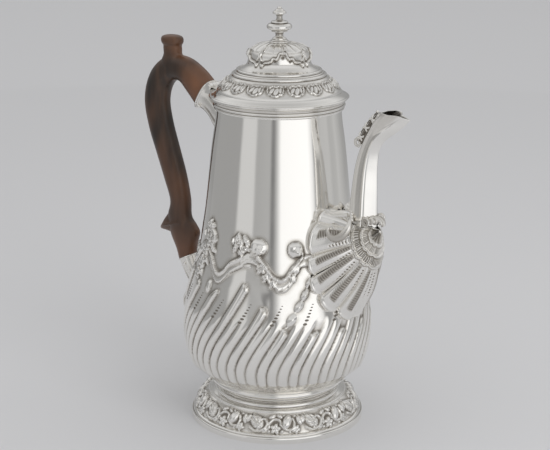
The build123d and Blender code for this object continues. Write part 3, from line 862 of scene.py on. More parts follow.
def rings_along(sections, spacing, around=48, power=2.3, shape=None):
    """Rings across a run in the plane of the spout, from (centre, direction, half depth, half width)."""
    rows = smooth_run([(*centre, *ahead, deep, wide) for centre, ahead, deep, wide in sections], spacing)
    turn = circle(around)
    rings = []
    for k, (x, z, ahead_x, ahead_z, deep, wide) in enumerate(rows):
        out = np.array([ahead_z, 0, -ahead_x]) / math.hypot(ahead_x, ahead_z)
        u = squarish(np.cos(turn), 2 / power) * deep
        v = squarish(np.sin(turn), 2 / power) * wide
        if shape is not None:
            factor = shape(turn, k / (len(rows) - 1))
            u, v = u * factor, v * factor
        rings.append(np.array([x, 0, z]) + u[:, None] * out + v[:, None] * np.array([0, 1, 0]))
    return np.array(rings)


def outside_body(points, depth=0.5):
    """Points moved out where they would show inside the pot."""
    points = np.array(points, float)
    radius = np.hypot(points[..., 0], points[..., 1])
    least = body_radius(points[..., 2]) - depth
    factor = np.where(radius < least, least / np.maximum(radius, 1), 1)
    points[..., 0] *= factor
    points[..., 1] *= factor
    return points


def apply_modifiers(piece):
    graph = bpy.context.evaluated_depsgraph_get()
    mesh = bpy.data.meshes.new_from_object(piece.evaluated_get(graph))
    piece.modifiers.clear()
    piece.data = mesh
    return mesh


def positions(mesh):
    """A mesh's points, in millimetres."""
    flat = np.empty(len(mesh.vertices) * 3, np.float32)
    mesh.vertices.foreach_get("co", flat)
    return flat.reshape(-1, 3) / MM


# -------------------- handle

HANDLE_SECTIONS = [
    ((-64.6, 214.3), (-0.854, 0.52), 11.2, 7.4), ((-73.5, 222.4), (-0.84, 0.54), 10.4, 7.4),
    ((-84.8, 229.4), (-0.95, 0.3), 8.9, 7.2), ((-97.5, 228.6), (-0.9, -0.43), 8.8, 7.0),
    ((-107.4, 219.6), (-0.5, -0.87), 9.6, 7.0), ((-111.6, 205.0), (-0.02, -1.0), 10.1, 7.0),
    ((-108.4, 188.0), (0.3, -0.95), 9.9, 7.0), ((-101.7, 170.0), (0.36, -0.93), 9.3, 7.0),
    ((-94.9, 152.0), (0.32, -0.95), 8.8, 6.8), ((-90.2, 136.0), (0.12, -0.99), 7.7, 6.6),
    ((-91.0, 124.5), (0.02, -0.99), 9.4, 6.4), ((-88.4, 118.0), (0.1, -0.99), 11.6, 6.4),
    ((-85.6, 111.5), (0.2, -0.98), 12.4, 6.4),
    ((-84.2, 102.5), (0.3, -0.95), 8.4, 6.3), ((-83.2, 95.3), (0.447, -0.894), 6.9, 6.2),
]
KNOB_X = -95.9
WOOD_VOXEL = 0.75            # the wood's pieces are joined into one skin of this fineness
THORN_SECTIONS = [
    ((-89.0, 119.5), (-0.94, -0.34), 9.6, 6.0), ((-96.0, 118.2), (-0.94, -0.34), 8.6, 5.4),
    ((-101.5, 116.0), (-0.92, -0.38), 5.8, 4.4), ((-105.8, 113.8), (-0.9, -0.43), 3.2, 3.0),
    ((-109.9, 111.7), (-0.9, -0.43), 0.9, 1.0),
]


# The knob's button has a shallow groove under it, and its top is cut nearly flat.
KNOB_OUTLINE = [
    (0.1, 252.1), (5.0, 252.0), (8.1, 250.8), (8.8, 248.6), (8.2, 246.4), (6.9, 245.2), (7.3, 243.8),
    (7.2, 241.4), (7.3, 238.6), (8.8, 235.0), (9.4, 230.0), (6.0, 226.0), (0.1, 225.0),
]
# One end of a pin to the other: radius and distance across the pot.
PIN_OUTLINE = [(0.05, -8.7), (0.8, -8.65), (1.15, -8.3), (1.2, -7.6), (1.2, 7.6), (1.15, 8.3), (0.8, 8.65),
               (0.05, 8.7)]


def handle_ridges(turn, share):
    """A soft ridge along the middle of each side."""
    return 1 + 0.035 * np.cos(4 * turn) * np.sin(math.pi * np.clip(share, 0, 1))


def wear(spots):
    """Where the stain is worn: beside the sockets, at the grip, on the bend's back, and in patches."""
    x, y, z = spots.T
    top = np.exp(-(((x + 68) / 13) ** 2 + ((z - 219) / 15) ** 2))
    foot = np.exp(-(((z - 101) / 15) ** 2)) * (z < 150)
    grip = 0.35 * np.exp(-(((z - 141) / 14) ** 2)) + 0.28 * np.exp(-(((z - 246) / 7) ** 2))
    back = 0.22 * between(-x, 112, 122)
    patches = 0.1 * (1 + np.sin(z / 7.5 + 1.6 * np.sin(x / 5.0))) * (1 + np.sin(z / 17.0 + y / 3.0))
    return np.clip(top + foot + grip + back + patches, 0, 1)


def build_handle():
    bar = loft(rings_along(HANDLE_SECTIONS, 1.4, 48, 2.5, handle_ridges))
    thorn = loft(rings_along(THORN_SECTIONS, 1.0, 32, 2.2))
    turn = circle(36)
    knob = []
    for radius, z in smooth_run(KNOB_OUTLINE, 0.8):
        lean = -0.6 * between(z, 236.0, 252.0)
        knob.append(np.column_stack([KNOB_X + lean + radius * np.cos(turn), 0.78 * radius * np.sin(turn),
                                     np.full(len(turn), z)]))
    # A carved line crosses each side from the thorn to the notch inside the bend.
    line = smooth_run([(-108.6, 1.4, 113.0), (-103.0, 4.6, 115.6), (-96.5, 6.1, 117.6), (-89.5, 6.4, 119.8),
                       (-84.6, 6.0, 121.0)], 0.8)
    lines = [tube(line * (1, side, 1), 0.75, 10) for side in (-1, 1)]
    piece = new_piece("carved_handle", gather([bar, thorn, loft(knob)] + lines), WOOD, ["wooden_handle"])
    remesh = piece.modifiers.new("one_skin", "REMESH")
    remesh.mode = "VOXEL"
    remesh.voxel_size = WOOD_VOXEL * MM
    smooth = piece.modifiers.new("rubbed", "SMOOTH")
    smooth.factor = 0.5
    smooth.iterations = 3
    mesh = apply_modifiers(piece)
    mesh.shade_smooth()
    mark(mesh, "worn", wear(positions(mesh)))
    turn = circle(20)
    for end, (x, z), length in (("upper", (-65.6, 207.6), 1.0), ("lower", (-81.3, 91.4), 0.79)):
        rings = [in_plane(np.column_stack([x + r * np.cos(turn), z + r * np.sin(turn)]), y * length)
                 for r, y in PIN_OUTLINE]
        new_piece(f"{end}_pin_head", loft(rings), POLISHED, [f"{end}_handle_pin"])


# -------------------- sockets

UPPER_SOCKET_SECTIONS = [
    ((-65.0, 214.4), (0.854, -0.52), 11.5, 8.2), ((-60.6, 212.0), (0.82, -0.57), 9.6, 7.2),
    ((-54.6, 207.4), (0.78, -0.62), 9.0, 6.8), ((-48.6, 201.4), (0.72, -0.69), 9.8, 6.8),
    ((-38.0, 192.0), (0.7, -0.71), 12.0, 6.0),
]
LOWER_SOCKET_SECTIONS = [
    ((-83.1, 95.0), (0.447, -0.894), 6.6, 6.0), ((-80.5, 89.5), (0.47, -0.88), 6.3, 5.8),
    ((-77.0, 83.5), (0.52, -0.85), 6.0, 5.5), ((-69.0, 73.0), (0.65, -0.76), 6.0, 5.4),
    ((-58.0, 64.0), (0.8, -0.6), 6.2, 5.6),
]
# The hinge leaves lie over the upper socket, so nearer the pot than this it stays under this height.
HINGE_END_X = -58.9
UNDER_HINGE_Z = 217.0


def leaf_shape(turn, share):
    """Flutes along a cast socket, that die away towards its mouth."""
    return 1 + 0.05 * np.cos(8 * turn) * np.clip(share * 1.6 - 0.1, 0, 1)


def leaf_stain(rings, band):
    """Tarnish along a socket's flutes, with a clean band at its mouth."""
    turn = circle(rings.shape[1])
    share = np.linspace(0, 1, len(rings))[:, None]
    tarnish_and_shade_marks = 0.12 + 0.7 * between(-np.cos(8 * turn)[None], 0.1, 0.95) * between(share, 0.1, 0.35)
    return np.r_[tarnish_and_shade_marks.ravel(), np.zeros(len(band[0]))]


def collar(centre, ahead, deep, wide, thick):
    """A rounded band round a socket's mouth."""
    x, z = centre
    direction = np.array([ahead[0], 0, ahead[1]]) / math.hypot(*ahead)
    out = np.array([direction[2], 0, -direction[0]])
    turn = circle(64)
    c, s = squarish(np.cos(turn), 0.8)[:, None], squarish(np.sin(turn), 0.8)[:, None]
    rings = []
    for bead in circle(12):
        grow = thick * math.cos(bead)
        middle = np.array([x, 0, z]) + direction * thick * 1.1 * math.sin(bead)
        rings.append(middle + (deep + grow) * c * out + (wide + grow) * s * np.array([0, 1, 0]))
    rings = np.array(rings)
    return rings.reshape(-1, 3), grid_faces(*rings.shape[:2], True, True)


def under_hinge(points):
    """Points of the upper socket kept below the hinge leaves."""
    flat = np.minimum(points[..., 2], UNDER_HINGE_Z)
    points[..., 2] = np.where(points[..., 0] > HINGE_END_X, flat, points[..., 2])
    return points


def build_sockets():
    rings = under_hinge(outside_body(rings_along(UPPER_SOCKET_SECTIONS, 0.9, 64, 2.4, leaf_shape)))
    band = collar((-64.9, 214.3), (0.854, -0.52), 11.3, 8.1, 0.65)
    points, faces = gather([loft(rings), band])
    new_piece("upper_socket", (under_hinge(points), faces), CHASED, ["upper_handle_socket"],
              tarnish_and_painted_shade=leaf_stain(rings, band))
    rings = outside_body(rings_along(LOWER_SOCKET_SECTIONS, 0.9, 56, 2.3, leaf_shape))
    band = collar((-83.2, 95.1), (0.447, -0.894), 6.6, 6.1, 0.55)
    new_piece("lower_socket", gather([loft(rings), band]), CHASED, ["lower_handle_socket"],
              tarnish_and_painted_shade=leaf_stain(rings, band))

    # The scroll that curls away under the lower socket, and the leaf that joins it to the belly.
    route = smooth_run([(-64.0, 88.0), (-70.5, 82.0), (-77.0, 76.5), (-82.5, 70.0), (-86.0, 63.5),
                        (-85.3, 58.0), (-81.6, 56.4), (-79.2, 59.2), (-80.6, 62.6), (-83.0, 62.2)], 0.7)
    spread = np.linspace(2.3, 1.5, len(route))
    foot_leaf = smooth_run([(-84.0, 60.0), (-78.0, 52.5), (-70.0, 49.5), (-60.5, 50.5)], 0.8)
    points, faces = gather([
        taper(in_plane(route), 1.9, 1.0, 14), taper(in_plane(route, -spread), 1.15, 0.7),
        taper(in_plane(route, spread), 1.15, 0.7), taper(in_plane(foot_leaf), 1.5, 0.6)])
    inner_side = np.clip(0.75 - np.abs(points[:, 1]) / 3.0, 0.12, 0.6)
    new_piece("lower_scroll", (outside_body(points), faces), CHASED, ["lower_socket_scroll"],
              tarnish_and_painted_shade=inner_side)

    # The leaf that tails off below the upper socket.
    shapes = []
    for spread, tip in ((-2.6, 175.0), (0.0, 171.5), (2.6, 175.0)):
        route = smooth_run([(-43.0, spread, 200.0), (-45.2, spread, 191.5), (-45.6, spread * 0.7, 185.0),
                            (-47.0, 0.0, tip)], 0.8)
        share = np.linspace(0, 1, len(route))
        shapes.append(tube(route, 1.9 * (1 - share) ** 0.6 + 0.25))
    shapes.append(ball((-46.9, 0, 170.6), np.diag([1.3, 1.5, 1.9]), 14, 9))
    points, faces = gather(shapes)
    new_piece("socket_leaf", (outside_body(points), faces), CHASED, ["upper_socket_drop"])


# -------------------- spout

SPOUT_SECTIONS = [
    ((46.0, 119.0), (1.0, 0.12), 28.0, 15.5), ((60.0, 122.5), (0.9, 0.43), 22.0, 13.6),
    ((65.2, 136.4), (0.5, 0.87), 15.4, 11.4), ((70.4, 150.0), (0.1, 1.0), 9.6, 9.4),
    ((71.0, 168.0), (0.03, 1.0), 8.7, 8.2), ((72.4, 186.0), (0.15, 0.99), 7.4, 7.0),
    ((75.9, 199.0), (0.40, 0.92), 6.0, 6.4), ((82.2, 209.0), (0.55, 0.83), 6.6, 6.9),
    ((93.7, 218.8), (0.0, 1.0), 10.9, 7.8),
]
SPOUT_WALL = 0.9
SPOUT_AROUND = 120
SPOUT_RIDGES = (4, 62, 116, 180)      # degrees from the front of the spout, on either side
# How far the rim rises above its front, by how far forward it is.
LIP_RISE = [(0, 2.2), (0.06, 3.0), (0.3, 3.3), (0.52, 2.5), (0.72, 1.6), (1.0, 0)]


def facet_shape(turn, share):
    """Ridges down the spout's sides between hollowed facets, lost towards its root."""
    strength = between(share, 0.22, 0.4) * (1 - 0.7 * between(share, 0.9, 1.0))
    away = from_spout(np.degrees(turn))
    ridge = sum(np.exp(-np.abs((away - spot) / 9.0) ** 1.3) for spot in SPOUT_RIDGES)
    return 1 + strength * (0.2 * ridge - 0.09)


def build_spout():
    rings = rings_along(SPOUT_SECTIONS, 1.1, SPOUT_AROUND, 2.0, facet_shape)
    turn = circle(SPOUT_AROUND)
    share = np.linspace(0, 1, len(rings))
    # Towards the mouth the rim arches at its sides and draws to a point in front.
    lip = between(share, 0.84, 1.0)[:, None]
    forward = (np.cos(turn)[None] + 1) / 2
    rings[..., 2] += lip * np.interp(forward, *zip(*LIP_RISE))
    rings[..., 1] *= 1 + lip * (0.12 * (1 - forward) - 0.72 * between(forward, 0.42, 0.74))
    middle = rings.mean(axis=1, keepdims=True)
    offset = rings - middle
    inner = middle + offset * (1 - SPOUT_WALL / np.linalg.norm(offset, axis=2, keepdims=True))
    # The lip's edge is rounded over, between the outside and the channel.
    edge = (rings[-1] + inner[-1]) / 2
    edge[:, 2] += 0.35
    skin = np.concatenate([outside_body(rings), edge[None], inner[::-1]])
    faces = grid_faces(len(skin), SPOUT_AROUND, True, True)
    dark = np.zeros(skin.shape[:2])
    # Painted shade: the side facets, about 65 to 110 degrees from the spout's back, are marked a little
    # darker.
    facet = np.abs(np.degrees(turn) - 180)
    dark[:len(rings)] = 0.3 * between(facet, 62, 68) * (1 - between(facet, 106, 116))
    # Painted shade: the channel inside the spout is marked dark.
    dark[len(rings) + 2:] = 0.9
    new_piece("spout", (skin.reshape(-1, 3), faces), POLISHED, ["spout_left_half", "spout_right_half"],
              tarnish_and_painted_shade=dark, crease=30)
    # The saddle where the back of the spout meets the body.
    saddle, faces = ball((54.5, 0, 145.0), np.diag([11.5, 11.0, 8.0]), 56, 30)
    new_piece("spout_saddle", (outside_body(saddle), faces), POLISHED)


def build_crest():
    """The openwork crest on the back of the spout: two waved cords that cross over a web of tubes painted
    dark, as the shade in the openwork.
    """
    line = smooth_run([(67.6, 199.4), (70.0, 204.2), (73.0, 208.8), (76.6, 213.2), (80.6, 217.4),
                       (82.6, 219.4)], 0.5)
    run = np.gradient(line, axis=0)
    run /= np.linalg.norm(run, axis=1)[:, None]
    outward = np.column_stack([-run[:, 1], run[:, 0]])
    along = np.arange(len(line)) * 0.5
    shapes, dark = [], []

    def add(shape, tarnish_and_shade_marks):
        shapes.append(shape)
        dark.append(np.full(len(shape[0]), tarnish_and_shade_marks))

    for phase, y in ((0, 1.0), (math.pi, -1.0)):
        turn = along * 2 * math.pi / 7.4 + phase
        cord = line + outward * (1.6 + 1.7 * np.sin(turn))[:, None]
        add(tube(in_plane(cord, y * np.cos(turn)), 0.75, 10), 0.1)
    # Tubes along the crest's line, marked fully dark: painted shade in the openwork's gaps.
    for lift, radius in ((-0.4, 0.8), (1.4, 0.8), (3.0, 0.4)):
        add(tube(in_plane(line + outward * lift), radius, 8), 1.0)
    curl = smooth_run([(68.8, 202.0), (65.8, 202.4), (63.4, 200.6), (63.6, 198.0), (65.8, 197.2),
                       (67.2, 199.0), (65.9, 200.2)], 0.4)
    add(tube(in_plane(curl), 0.95, 10), 0.25)
    new_piece("openwork_crest", gather(shapes), CHASED, ["spout_crest"], tarnish_and_painted_shade=np.concatenate(dark))


def build_bracket():
    """The rolled leaf that lies across the front of the spout over the shell."""
    across = np.linspace(-8.2, 8.2, 42)
    swell = 2.5 - 0.9 * np.abs(across / 8.2) ** 1.5 + 0.35 * np.cos(across * 2.3)
    shapes = [tube(np.column_stack([82.0 - 0.05 * across ** 2, across, 151.4 + 0 * across]), swell, 18)]
    for side in (-1, 1):
        angle = np.linspace(0, 3.4 * math.pi, 44)
        reach = 3.1 - 2.3 * angle / angle[-1]
        volute = np.column_stack([79.0 + reach * np.cos(angle + 1.0), side * (8.4 + 0.12 * angle / math.pi),
                                  151.0 - reach * np.sin(angle + 1.0)])
        shapes.append(tube(volute, 0.8, 10))
    tongue = smooth_run([(81.0, 153.0), (84.4, 152.4), (86.4, 150.4), (86.6, 148.2)], 0.5)
    spread = np.linspace(2.6, 0.8, len(tongue))
    for side in (-1, 0, 1):
        shapes.append(taper(in_plane(tongue, side * spread), 1.3, 0.8))
    points, faces = gather(shapes)
    folds = 0.1 + 0.6 * between(-np.cos(points[:, 1] * 2.3), 0.2, 0.9)
    new_piece("front_scroll", (points, faces), CHASED, ["spout_bracket"], tarnish_and_painted_shade=folds)


# -------------------- shell over the spout's root

# Where the shell's edge runs on the body, by (angle, height), lobe by lobe from notch to notch.
SHELL_LOBES = [
    [(-8.5, 152.5), (-12.5, 153.4), (-17.5, 151.6), (-20.4, 147.3)],
    [(-20.4, 147.3), (-24.9, 142.8), (-27.6, 136.6), (-28.3, 130.4), (-26.8, 126.0)],
    [(-26.8, 126.0), (-29.4, 122.4), (-29.0, 116.8), (-25.4, 112.4)],
    [(-25.4, 112.4), (-28.9, 109.4), (-27.9, 103.6), (-22.2, 99.9)],
    [(-22.2, 99.9), (-22.6, 95.2), (-18.4, 89.8), (-11.5, 88.4)],
    [(-11.5, 88.4), (-10.0, 84.4), (-5.5, 81.4), (0.0, 80.4)],
]
SHELL_HUB = (84.8, 0.0, 145.0)
LOBE_COLUMNS = (16, 44, 36, 36, 36, 30)
SHELL_ROWS = 190
BEADS = 8
# Level slices of the spout's root: height, front, back and half width.
ROOT_SLICES = [
    (80.0, 60.0, 46.0, 5.0), (84.0, 61.5, 46.0, 6.5), (90.0, 65.0, 46.0, 8.6), (100.0, 69.2, 46.0, 11.4),
    (113.3, 73.6, 46.0, 13.4), (120.8, 77.2, 46.0, 13.9), (128.0, 79.4, 48.0, 13.0),
    (134.7, 80.0, 52.0, 12.0), (143.8, 79.8, 58.0, 10.6), (150.0, 80.2, 60.8, 9.8), (158.0, 80.8, 61.0, 9.4),
]


def shell_grid():
    """The shell's plain surface as (row from hub to edge, column), with each column's place in its lobe."""
    edge, place, lobe_of = [], [], []
    for k, (lobe, columns) in enumerate(zip(SHELL_LOBES, LOBE_COLUMNS)):
        run = smooth_run(lobe, 0.2)
        pick = np.linspace(0, len(run) - 1, columns + 1)
        run = np.column_stack([np.interp(pick, np.arange(len(run)), run[:, j]) for j in range(2)])
        first = 0 if k == 0 else 1
        for j in range(first, columns + 1):
            angle, z = run[j]
            radius = body_radius(z) + 0.9
            edge.append((radius * math.cos(math.radians(angle)), radius * math.sin(math.radians(angle)), z))
            place.append(j / columns)
            lobe_of.append(k)
    edge = np.array(edge)
    s = np.linspace(0.0, 1.0, SHELL_ROWS)[:, None, None]
    hub = np.array(SHELL_HUB)
    surface = hub + (edge - hub)[None] * s
    # The shell swells outwards over the root, squarely in front and sideways higher up.
    turn = np.linspace(1.32, 0.0, len(edge))
    outward = np.column_stack([np.cos(turn), -np.sin(turn), 0 * turn])
    swell = np.interp(edge[:, 2], [80, 100, 125, 150], [5.2, 5.2, 4.6, 3.0])
    surface += outward[None] * (swell[None, :, None] * np.sin(math.pi * s))
    return surface, np.array(place), np.array(lobe_of)


def shell_relief(place, lobe_of, length):
    """Height and darkness of the shell's lobes, hatched ribs, dotted rows and hatched arcs."""
    s = np.linspace(0, 1, SHELL_ROWS)[:, None]
    across = 2 * place[None] - 1
    lobes = between(s, 0.34, 0.75)
    height = 2.7 * lobes * (np.sqrt(np.clip(1 - across ** 2, 0, 1)) - 0.3)
    dark = 0 * height
    # A raised rib in each lobe, hatched across.
    bend = 0.36 + 0.9 * (s - 0.62) ** 2
    rib_place = (place[None] - bend) / 0.14
    rib_on = between(s, 0.40, 0.43) * (1 - between(s, 0.85, 0.88)) * (lobe_of > 0)
    rib = np.exp(-rib_place ** 6) * rib_on
    hatch = 0.5 + 0.5 * np.cos(2 * math.pi * s * length[None] / 1.6)
    height += rib * (0.5 + 0.5 * hatch)
    dark += rib * (0.7 + 0.3 * between(-hatch, -0.7, -0.3))
    # A row of punched dots near each lobe's lower edge, shrinking outwards.
    dot_size = np.interp(s, [0.42, 0.74], [1.0, 0.4])
    dot_place = (place[None] - 0.82) / (0.1 * dot_size)
    dot_run = np.cos(2 * math.pi * s * length[None] / 2.1)
    dots = np.exp(-dot_place ** 4) * between(dot_run, -0.2, 0.3) * between(s, 0.42, 0.45)
    dots = dots * (1 - between(s, 0.68, 0.74)) * (lobe_of > 0)
    height -= 0.35 * dots
    dark = np.maximum(dark, dots)
    # Hatched arcs about the hub, with plain ridges between them.
    fan = np.cos(2 * math.pi * np.cumsum(np.r_[0, np.diff(place) % 1]) * 5.0)
    for low, high, lift, deep in (
            (0.02, 0.145, 0.2, 0.3), (0.18, 0.255, 0.8, 0.12), (0.29, 0.37, 1.1, 0.3)):
        band = between(s, low, low + 0.012) * (1 - between(s, high - 0.012, high))
        height += band * (lift + 0.28 * fan[None])
        dark = np.maximum(dark, band * (deep + 0.7 * (fan[None] < -0.45)))
    for spot, lift in ((0.163, 1.3), (0.272, 1.7), (0.388, 1.5)):
        height += lift * np.exp(-((s - spot) / 0.013) ** 2) * (1 - lobes * 0.5)
        dark = np.maximum(dark, 0.75 * np.exp(-((s - spot - 0.02) / 0.007) ** 2) + 0 * dark)
    # The outer edge is rolled over, and its last strip is painted dark as the shade where the edge stands
    # above the body.
    height += 0.5 * np.exp(-((s - 0.955) / 0.012) ** 2)
    height -= 2.6 * between(s, 0.965, 1.0) ** 2
    dark = np.maximum(dark, 0.8 * between(s, 0.985, 1.0))
    return height, np.clip(dark, 0, 1)


def over_the_root(points):
    """Points pushed out smoothly until they clear the spout's root."""
    x, y, z = points[..., 0], points[..., 1], points[..., 2]
    front, back, half = (np.interp(z, [row[0] for row in ROOT_SLICES], [row[k] for row in ROOT_SLICES])
                         for k in (1, 2, 3))
    middle, deep = (front + back) / 2, (front - back) / 2
    reach = np.sqrt(((x - middle) / deep) ** 2 + (y / half) ** 2)
    factor = (reach ** 10 + 1.03 ** 10) ** 0.1 / np.maximum(reach, 0.05)
    return np.stack([middle + (x - middle) * factor, y * factor, z], -1)


def build_shells():
    surface, place, lobe_of = shell_grid()
    surface = outside_body(over_the_root(surface), -0.6)
    length = np.linalg.norm(surface[-1] - surface[0], axis=1)
    height, dark = shell_relief(place, lobe_of, length)
    normal = np.cross(np.gradient(surface, axis=0), np.gradient(surface, axis=1))
    if normal[SHELL_ROWS // 2, 60] @ np.array([0.5, -0.8, 0]) < 0:
        normal = -normal
    normal[:, -1, 1] = 0
    normal[0] = normal[2]
    normal /= np.maximum(np.linalg.norm(normal, axis=2, keepdims=True), 1e-9)
    front = outside_body(surface + normal * height[..., None], 0.3)
    back = outside_body(surface - normal * 1.6, 0.4)
    front[:, -1, 1] = 0
    back[:, -1, 1] = 0
    back[:, 0] = front[:, 0]
    coarse = back[::-1][::8]
    half_skin = np.concatenate([front, coarse])
    half_dark = np.concatenate([dark, np.zeros(coarse.shape[:2])])
    other_half = half_skin[:, -2::-1] * np.array([1, -1, 1])
    skin = np.concatenate([half_skin, other_half], axis=1)
    tarnish_and_shade_marks = np.concatenate([half_dark, half_dark[:, -2::-1]], axis=1)
    faces = grid_faces(skin.shape[0], skin.shape[1], True, False)
    new_piece("root_shell", (skin.reshape(-1, 3), faces), CHASED, ["spout_shell_right", "spout_shell_left"],
              tarnish_and_painted_shade=tarnish_and_shade_marks, crease=60)


def build_root_scrolls():
    """A C-scroll, a row of beads and a bar beside each half of the shell."""
    shapes = []
    for side in (-1, 1):
        hook = smooth_run([
            (70.6, -13.4, 152.4), (70.2, -15.2, 147.2), (67.2, -17.0, 142.2), (62.9, -18.6, 139.8),
            (58.6, -19.6, 141.4), (57.4, -19.8, 145.0), (59.4, -18.8, 147.4), (61.8, -17.8, 145.4)], 0.5)
        share = np.linspace(0, 1, len(hook))
        thick = 0.7 + 2.2 * np.sin(math.pi * np.clip(share * 1.15 + 0.02, 0, 1)) ** 0.8
        shapes.append(tube(hook * (1, side, 1), thick, 14))
        for part in np.linspace(0, 1, BEADS):
            spot = (69.4 - 5.6 * part, side * -(10.6 - 6.5 * part), 151.5 + 11.5 * part)
            size = 1.5 - 0.7 * part
            shapes.append(ball(spot, np.diag([size, size, size * 1.15]), 12, 8))
        top = smooth_run([(66.0, -10.0, 154.0), (60.0, -11.6, 152.6), (54.0, -12.6, 152.6),
                          (49.5, -12.0, 155.0)], 0.6)
        shapes.append(taper(top * (1, side, 1), 1.5, 0.8))
    points, faces = gather(shapes)
    # Painted shade: the scrolls are marked darker the lower they lie, from a light darkening at the top.
    under = np.clip((150.0 - points[:, 2]) / 14.0, 0.15, 0.55)
    new_piece("root_scrolls", (outside_body(points), faces), CHASED, tarnish_and_painted_shade=under)


build_body()
build_foot()
build_lid()
build_lid_and_mouth_mouldings()
build_finial()
build_handle()
build_sockets()
build_spout()
build_crest()
build_bracket()
build_shells()
build_root_scrolls()

# The CAD's own hinge, stud and nut keep their shapes and take a silver finish.
for node in ("hinge_pin", "hinge_body_leaf", "hinge_lid_leaf", "finial_stud", "finial_nut"):
    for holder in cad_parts[node].material_slots:
        holder.material = POLISHED[0]

# -------------------- floor, light and camera

CAMERA_TURN = 40.0
CAMERA_DISTANCE = 956.7
CAMERA_HEIGHT = 398.35
CAMERA_PITCH = 15.484
CAMERA_ROLL = 0.331
CAMERA_SIDESTEP = 2.14
SENSOR_WIDTH = 36.0
FOCAL_LENGTH = SENSOR_WIDTH * 1477.6 / 550


def place_camera():
    data = bpy.data.cameras.new("camera")
    data.sensor_width = SENSOR_WIDTH
    data.lens = FOCAL_LENGTH
    camera = add_object("camera", data)
    turn = math.radians(CAMERA_TURN)
    pitch = math.radians(CAMERA_PITCH)
    roll = math.radians(CAMERA_ROLL)
    towards = Vector((math.sin(turn), -math.cos(turn), 0))
    right = Vector((math.cos(turn), math.sin(turn), 0))
    forward = -towards * math.cos(pitch) - Vector((0, 0, 1)) * math.sin(pitch)
    up = right.cross(forward)
    across = right * math.cos(roll) + up * math.sin(roll)
    upright = up * math.cos(roll) - right * math.sin(roll)
    spot = (towards * CAMERA_DISTANCE + Vector((0, 0, CAMERA_HEIGHT)) - right * CAMERA_SIDESTEP) * MM
    rotation = Matrix((across, upright, -forward)).transposed().to_4x4()
    camera.matrix_world = Matrix.Translation(spot) @ rotation
    bpy.context.scene.camera = camera


FLOOR_HALF = 6.0             # metres


def make_floor():
    material, tree = start_material("pale_floor")
    feed(tree, tree.nodes["Principled BSDF"], {"Base Color": (0.62, 0.62, 0.632, 1), "Roughness": 0.75})
    mesh = bpy.data.meshes.new("floor")
    corners = [(-FLOOR_HALF, -FLOOR_HALF, 0), (FLOOR_HALF, -FLOOR_HALF, 0), (FLOOR_HALF, FLOOR_HALF, 0),
               (-FLOOR_HALF, FLOOR_HALF, 0)]
    mesh.from_pydata(corners, [], [(0, 1, 2, 3)])
    mesh.materials.append(material)
    add_object("floor", mesh)


# What the silver mirrors: brightness by degrees to the right of the camera, seen from the pot looking out.
STUDIO_BANDS = [
    (-178, 0.30), (-146, 0.30), (-68, 0.34), (-64, 0.62), (-40, 0.62), (-36, 0.40), (-14, 0.44), (-10, 0.20),
    (-7, 0.24), (-2, 0.55), (4, 1.05), (50, 1.1), (57, 0.85), (61, 0.28), (70, 0.34), (76, 0.50), (92, 0.52),
    (98, 0.44), (108, 0.46), (114, 0.52), (140, 0.36), (178, 0.30),
]
STUDIO_COLUMNS = 96


def band_light(tree):
    """The studio's brightness by direction round the pot."""
    split = add_node(tree, "SeparateXYZ", {"Vector": place_on_piece(tree)}).outputs
    angle = add_node(tree, "Math", {0: split["Y"], 1: split["X"]}, operation="ARCTAN2").outputs[0]
    share = add_node(tree, "MapRange", {"From Min": -math.pi, "From Max": math.pi, "Value": angle})
    stops = sorted(((CAMERA_TURN + 90 + degrees) % 360 / 360, level) for degrees, level in STUDIO_BANDS)
    return ramp(tree, share.outputs["Result"], stops)


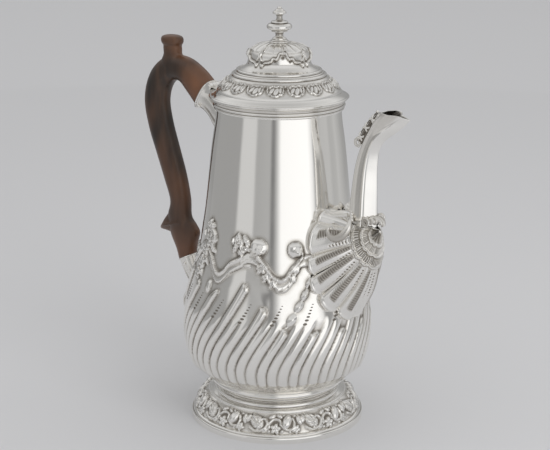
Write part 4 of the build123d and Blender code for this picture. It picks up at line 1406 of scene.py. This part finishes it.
def make_studio_wall():
    """A ring of lit and unlit cards that curves onto the floor round the pot, seen only in the silver."""
    section = [(0.30, 0.002), (0.6, 0.002), (1.0, 0.002), (1.3, 0.004), (1.3, 0.62)]
    points = revolve(section, circle(STUDIO_COLUMNS)).reshape(-1, 3)
    faces = grid_faces(len(section), STUDIO_COLUMNS, False, True)
    mesh = bpy.data.meshes.new("studio_wall")
    mesh.from_pydata(points.tolist(), [], faces.tolist())
    material, tree = start_material("studio_cards")
    tree.nodes.clear()
    # Near the pot the floor part of the ring is clear, so that the real floor shows in the silver there.
    reach = add_node(tree, "VectorMath", {0: place_on_piece(tree)}, operation="LENGTH")
    fade = ramp(tree, reach.outputs["Value"], [(0.32, 0.0), (0.75, 0.75), (1.0, 1.0)])
    clear = add_node(tree, "BsdfTransparent", {}).outputs["BSDF"]
    glow = add_node(tree, "Emission", {"Color": band_light(tree)}).outputs["Emission"]
    blend = add_node(tree, "MixShader", {"Fac": fade, 1: clear, 2: glow}).outputs["Shader"]
    add_node(tree, "OutputMaterial", {"Surface": blend})
    mesh.materials.append(material)
    wall = add_object("studio_wall", mesh)
    wall.visible_camera = False
    wall.visible_diffuse = False
    wall.visible_shadow = False


def area_light(name, side, energy, spot, target):
    """A square soft light that the silver does not mirror, in metres and watts."""
    light = bpy.data.lights.new(name, "AREA")
    light.shape = "SQUARE"
    light.size = side
    light.energy = energy
    lamp = add_object(name, light)
    lamp.location = spot
    lamp.rotation_euler = (Vector(target) - Vector(spot)).to_track_quat("-Z", "Y").to_euler()
    lamp.visible_camera = False
    lamp.visible_glossy = False


def world_light():
    """A grey studio that grows pale overhead, a wide ceiling light and a soft light from the right."""
    world = bpy.data.worlds.new("studio")
    bpy.context.scene.world = world
    world.use_nodes = True
    tree = world.node_tree
    place = add_node(tree, "TexCoord", {}).outputs["Generated"]
    height = add_node(tree, "SeparateXYZ", {"Vector": place}).outputs["Z"]
    stops = [(0.0, 0.42), (0.30, 0.42), (0.55, 0.70), (0.80, 0.62), (1.0, 0.50)]
    feed(tree, tree.nodes["Background"], {"Color": ramp(tree, height, stops)})
    area_light("ceiling", side=8.0, energy=66.0, spot=(0, 0, 3.0), target=(0, 0, 0))
    turn = math.radians(CAMERA_TURN - 90 + 35)
    spot = (1.4 * math.cos(turn), 1.4 * math.sin(turn), 1.0)
    area_light("softbox", side=0.9, energy=7.0, spot=spot, target=(0, 0, 0.1))


place_camera()
make_floor()
make_studio_wall()
world_light()
bpy.context.scene.view_settings.view_transform = "Standard"
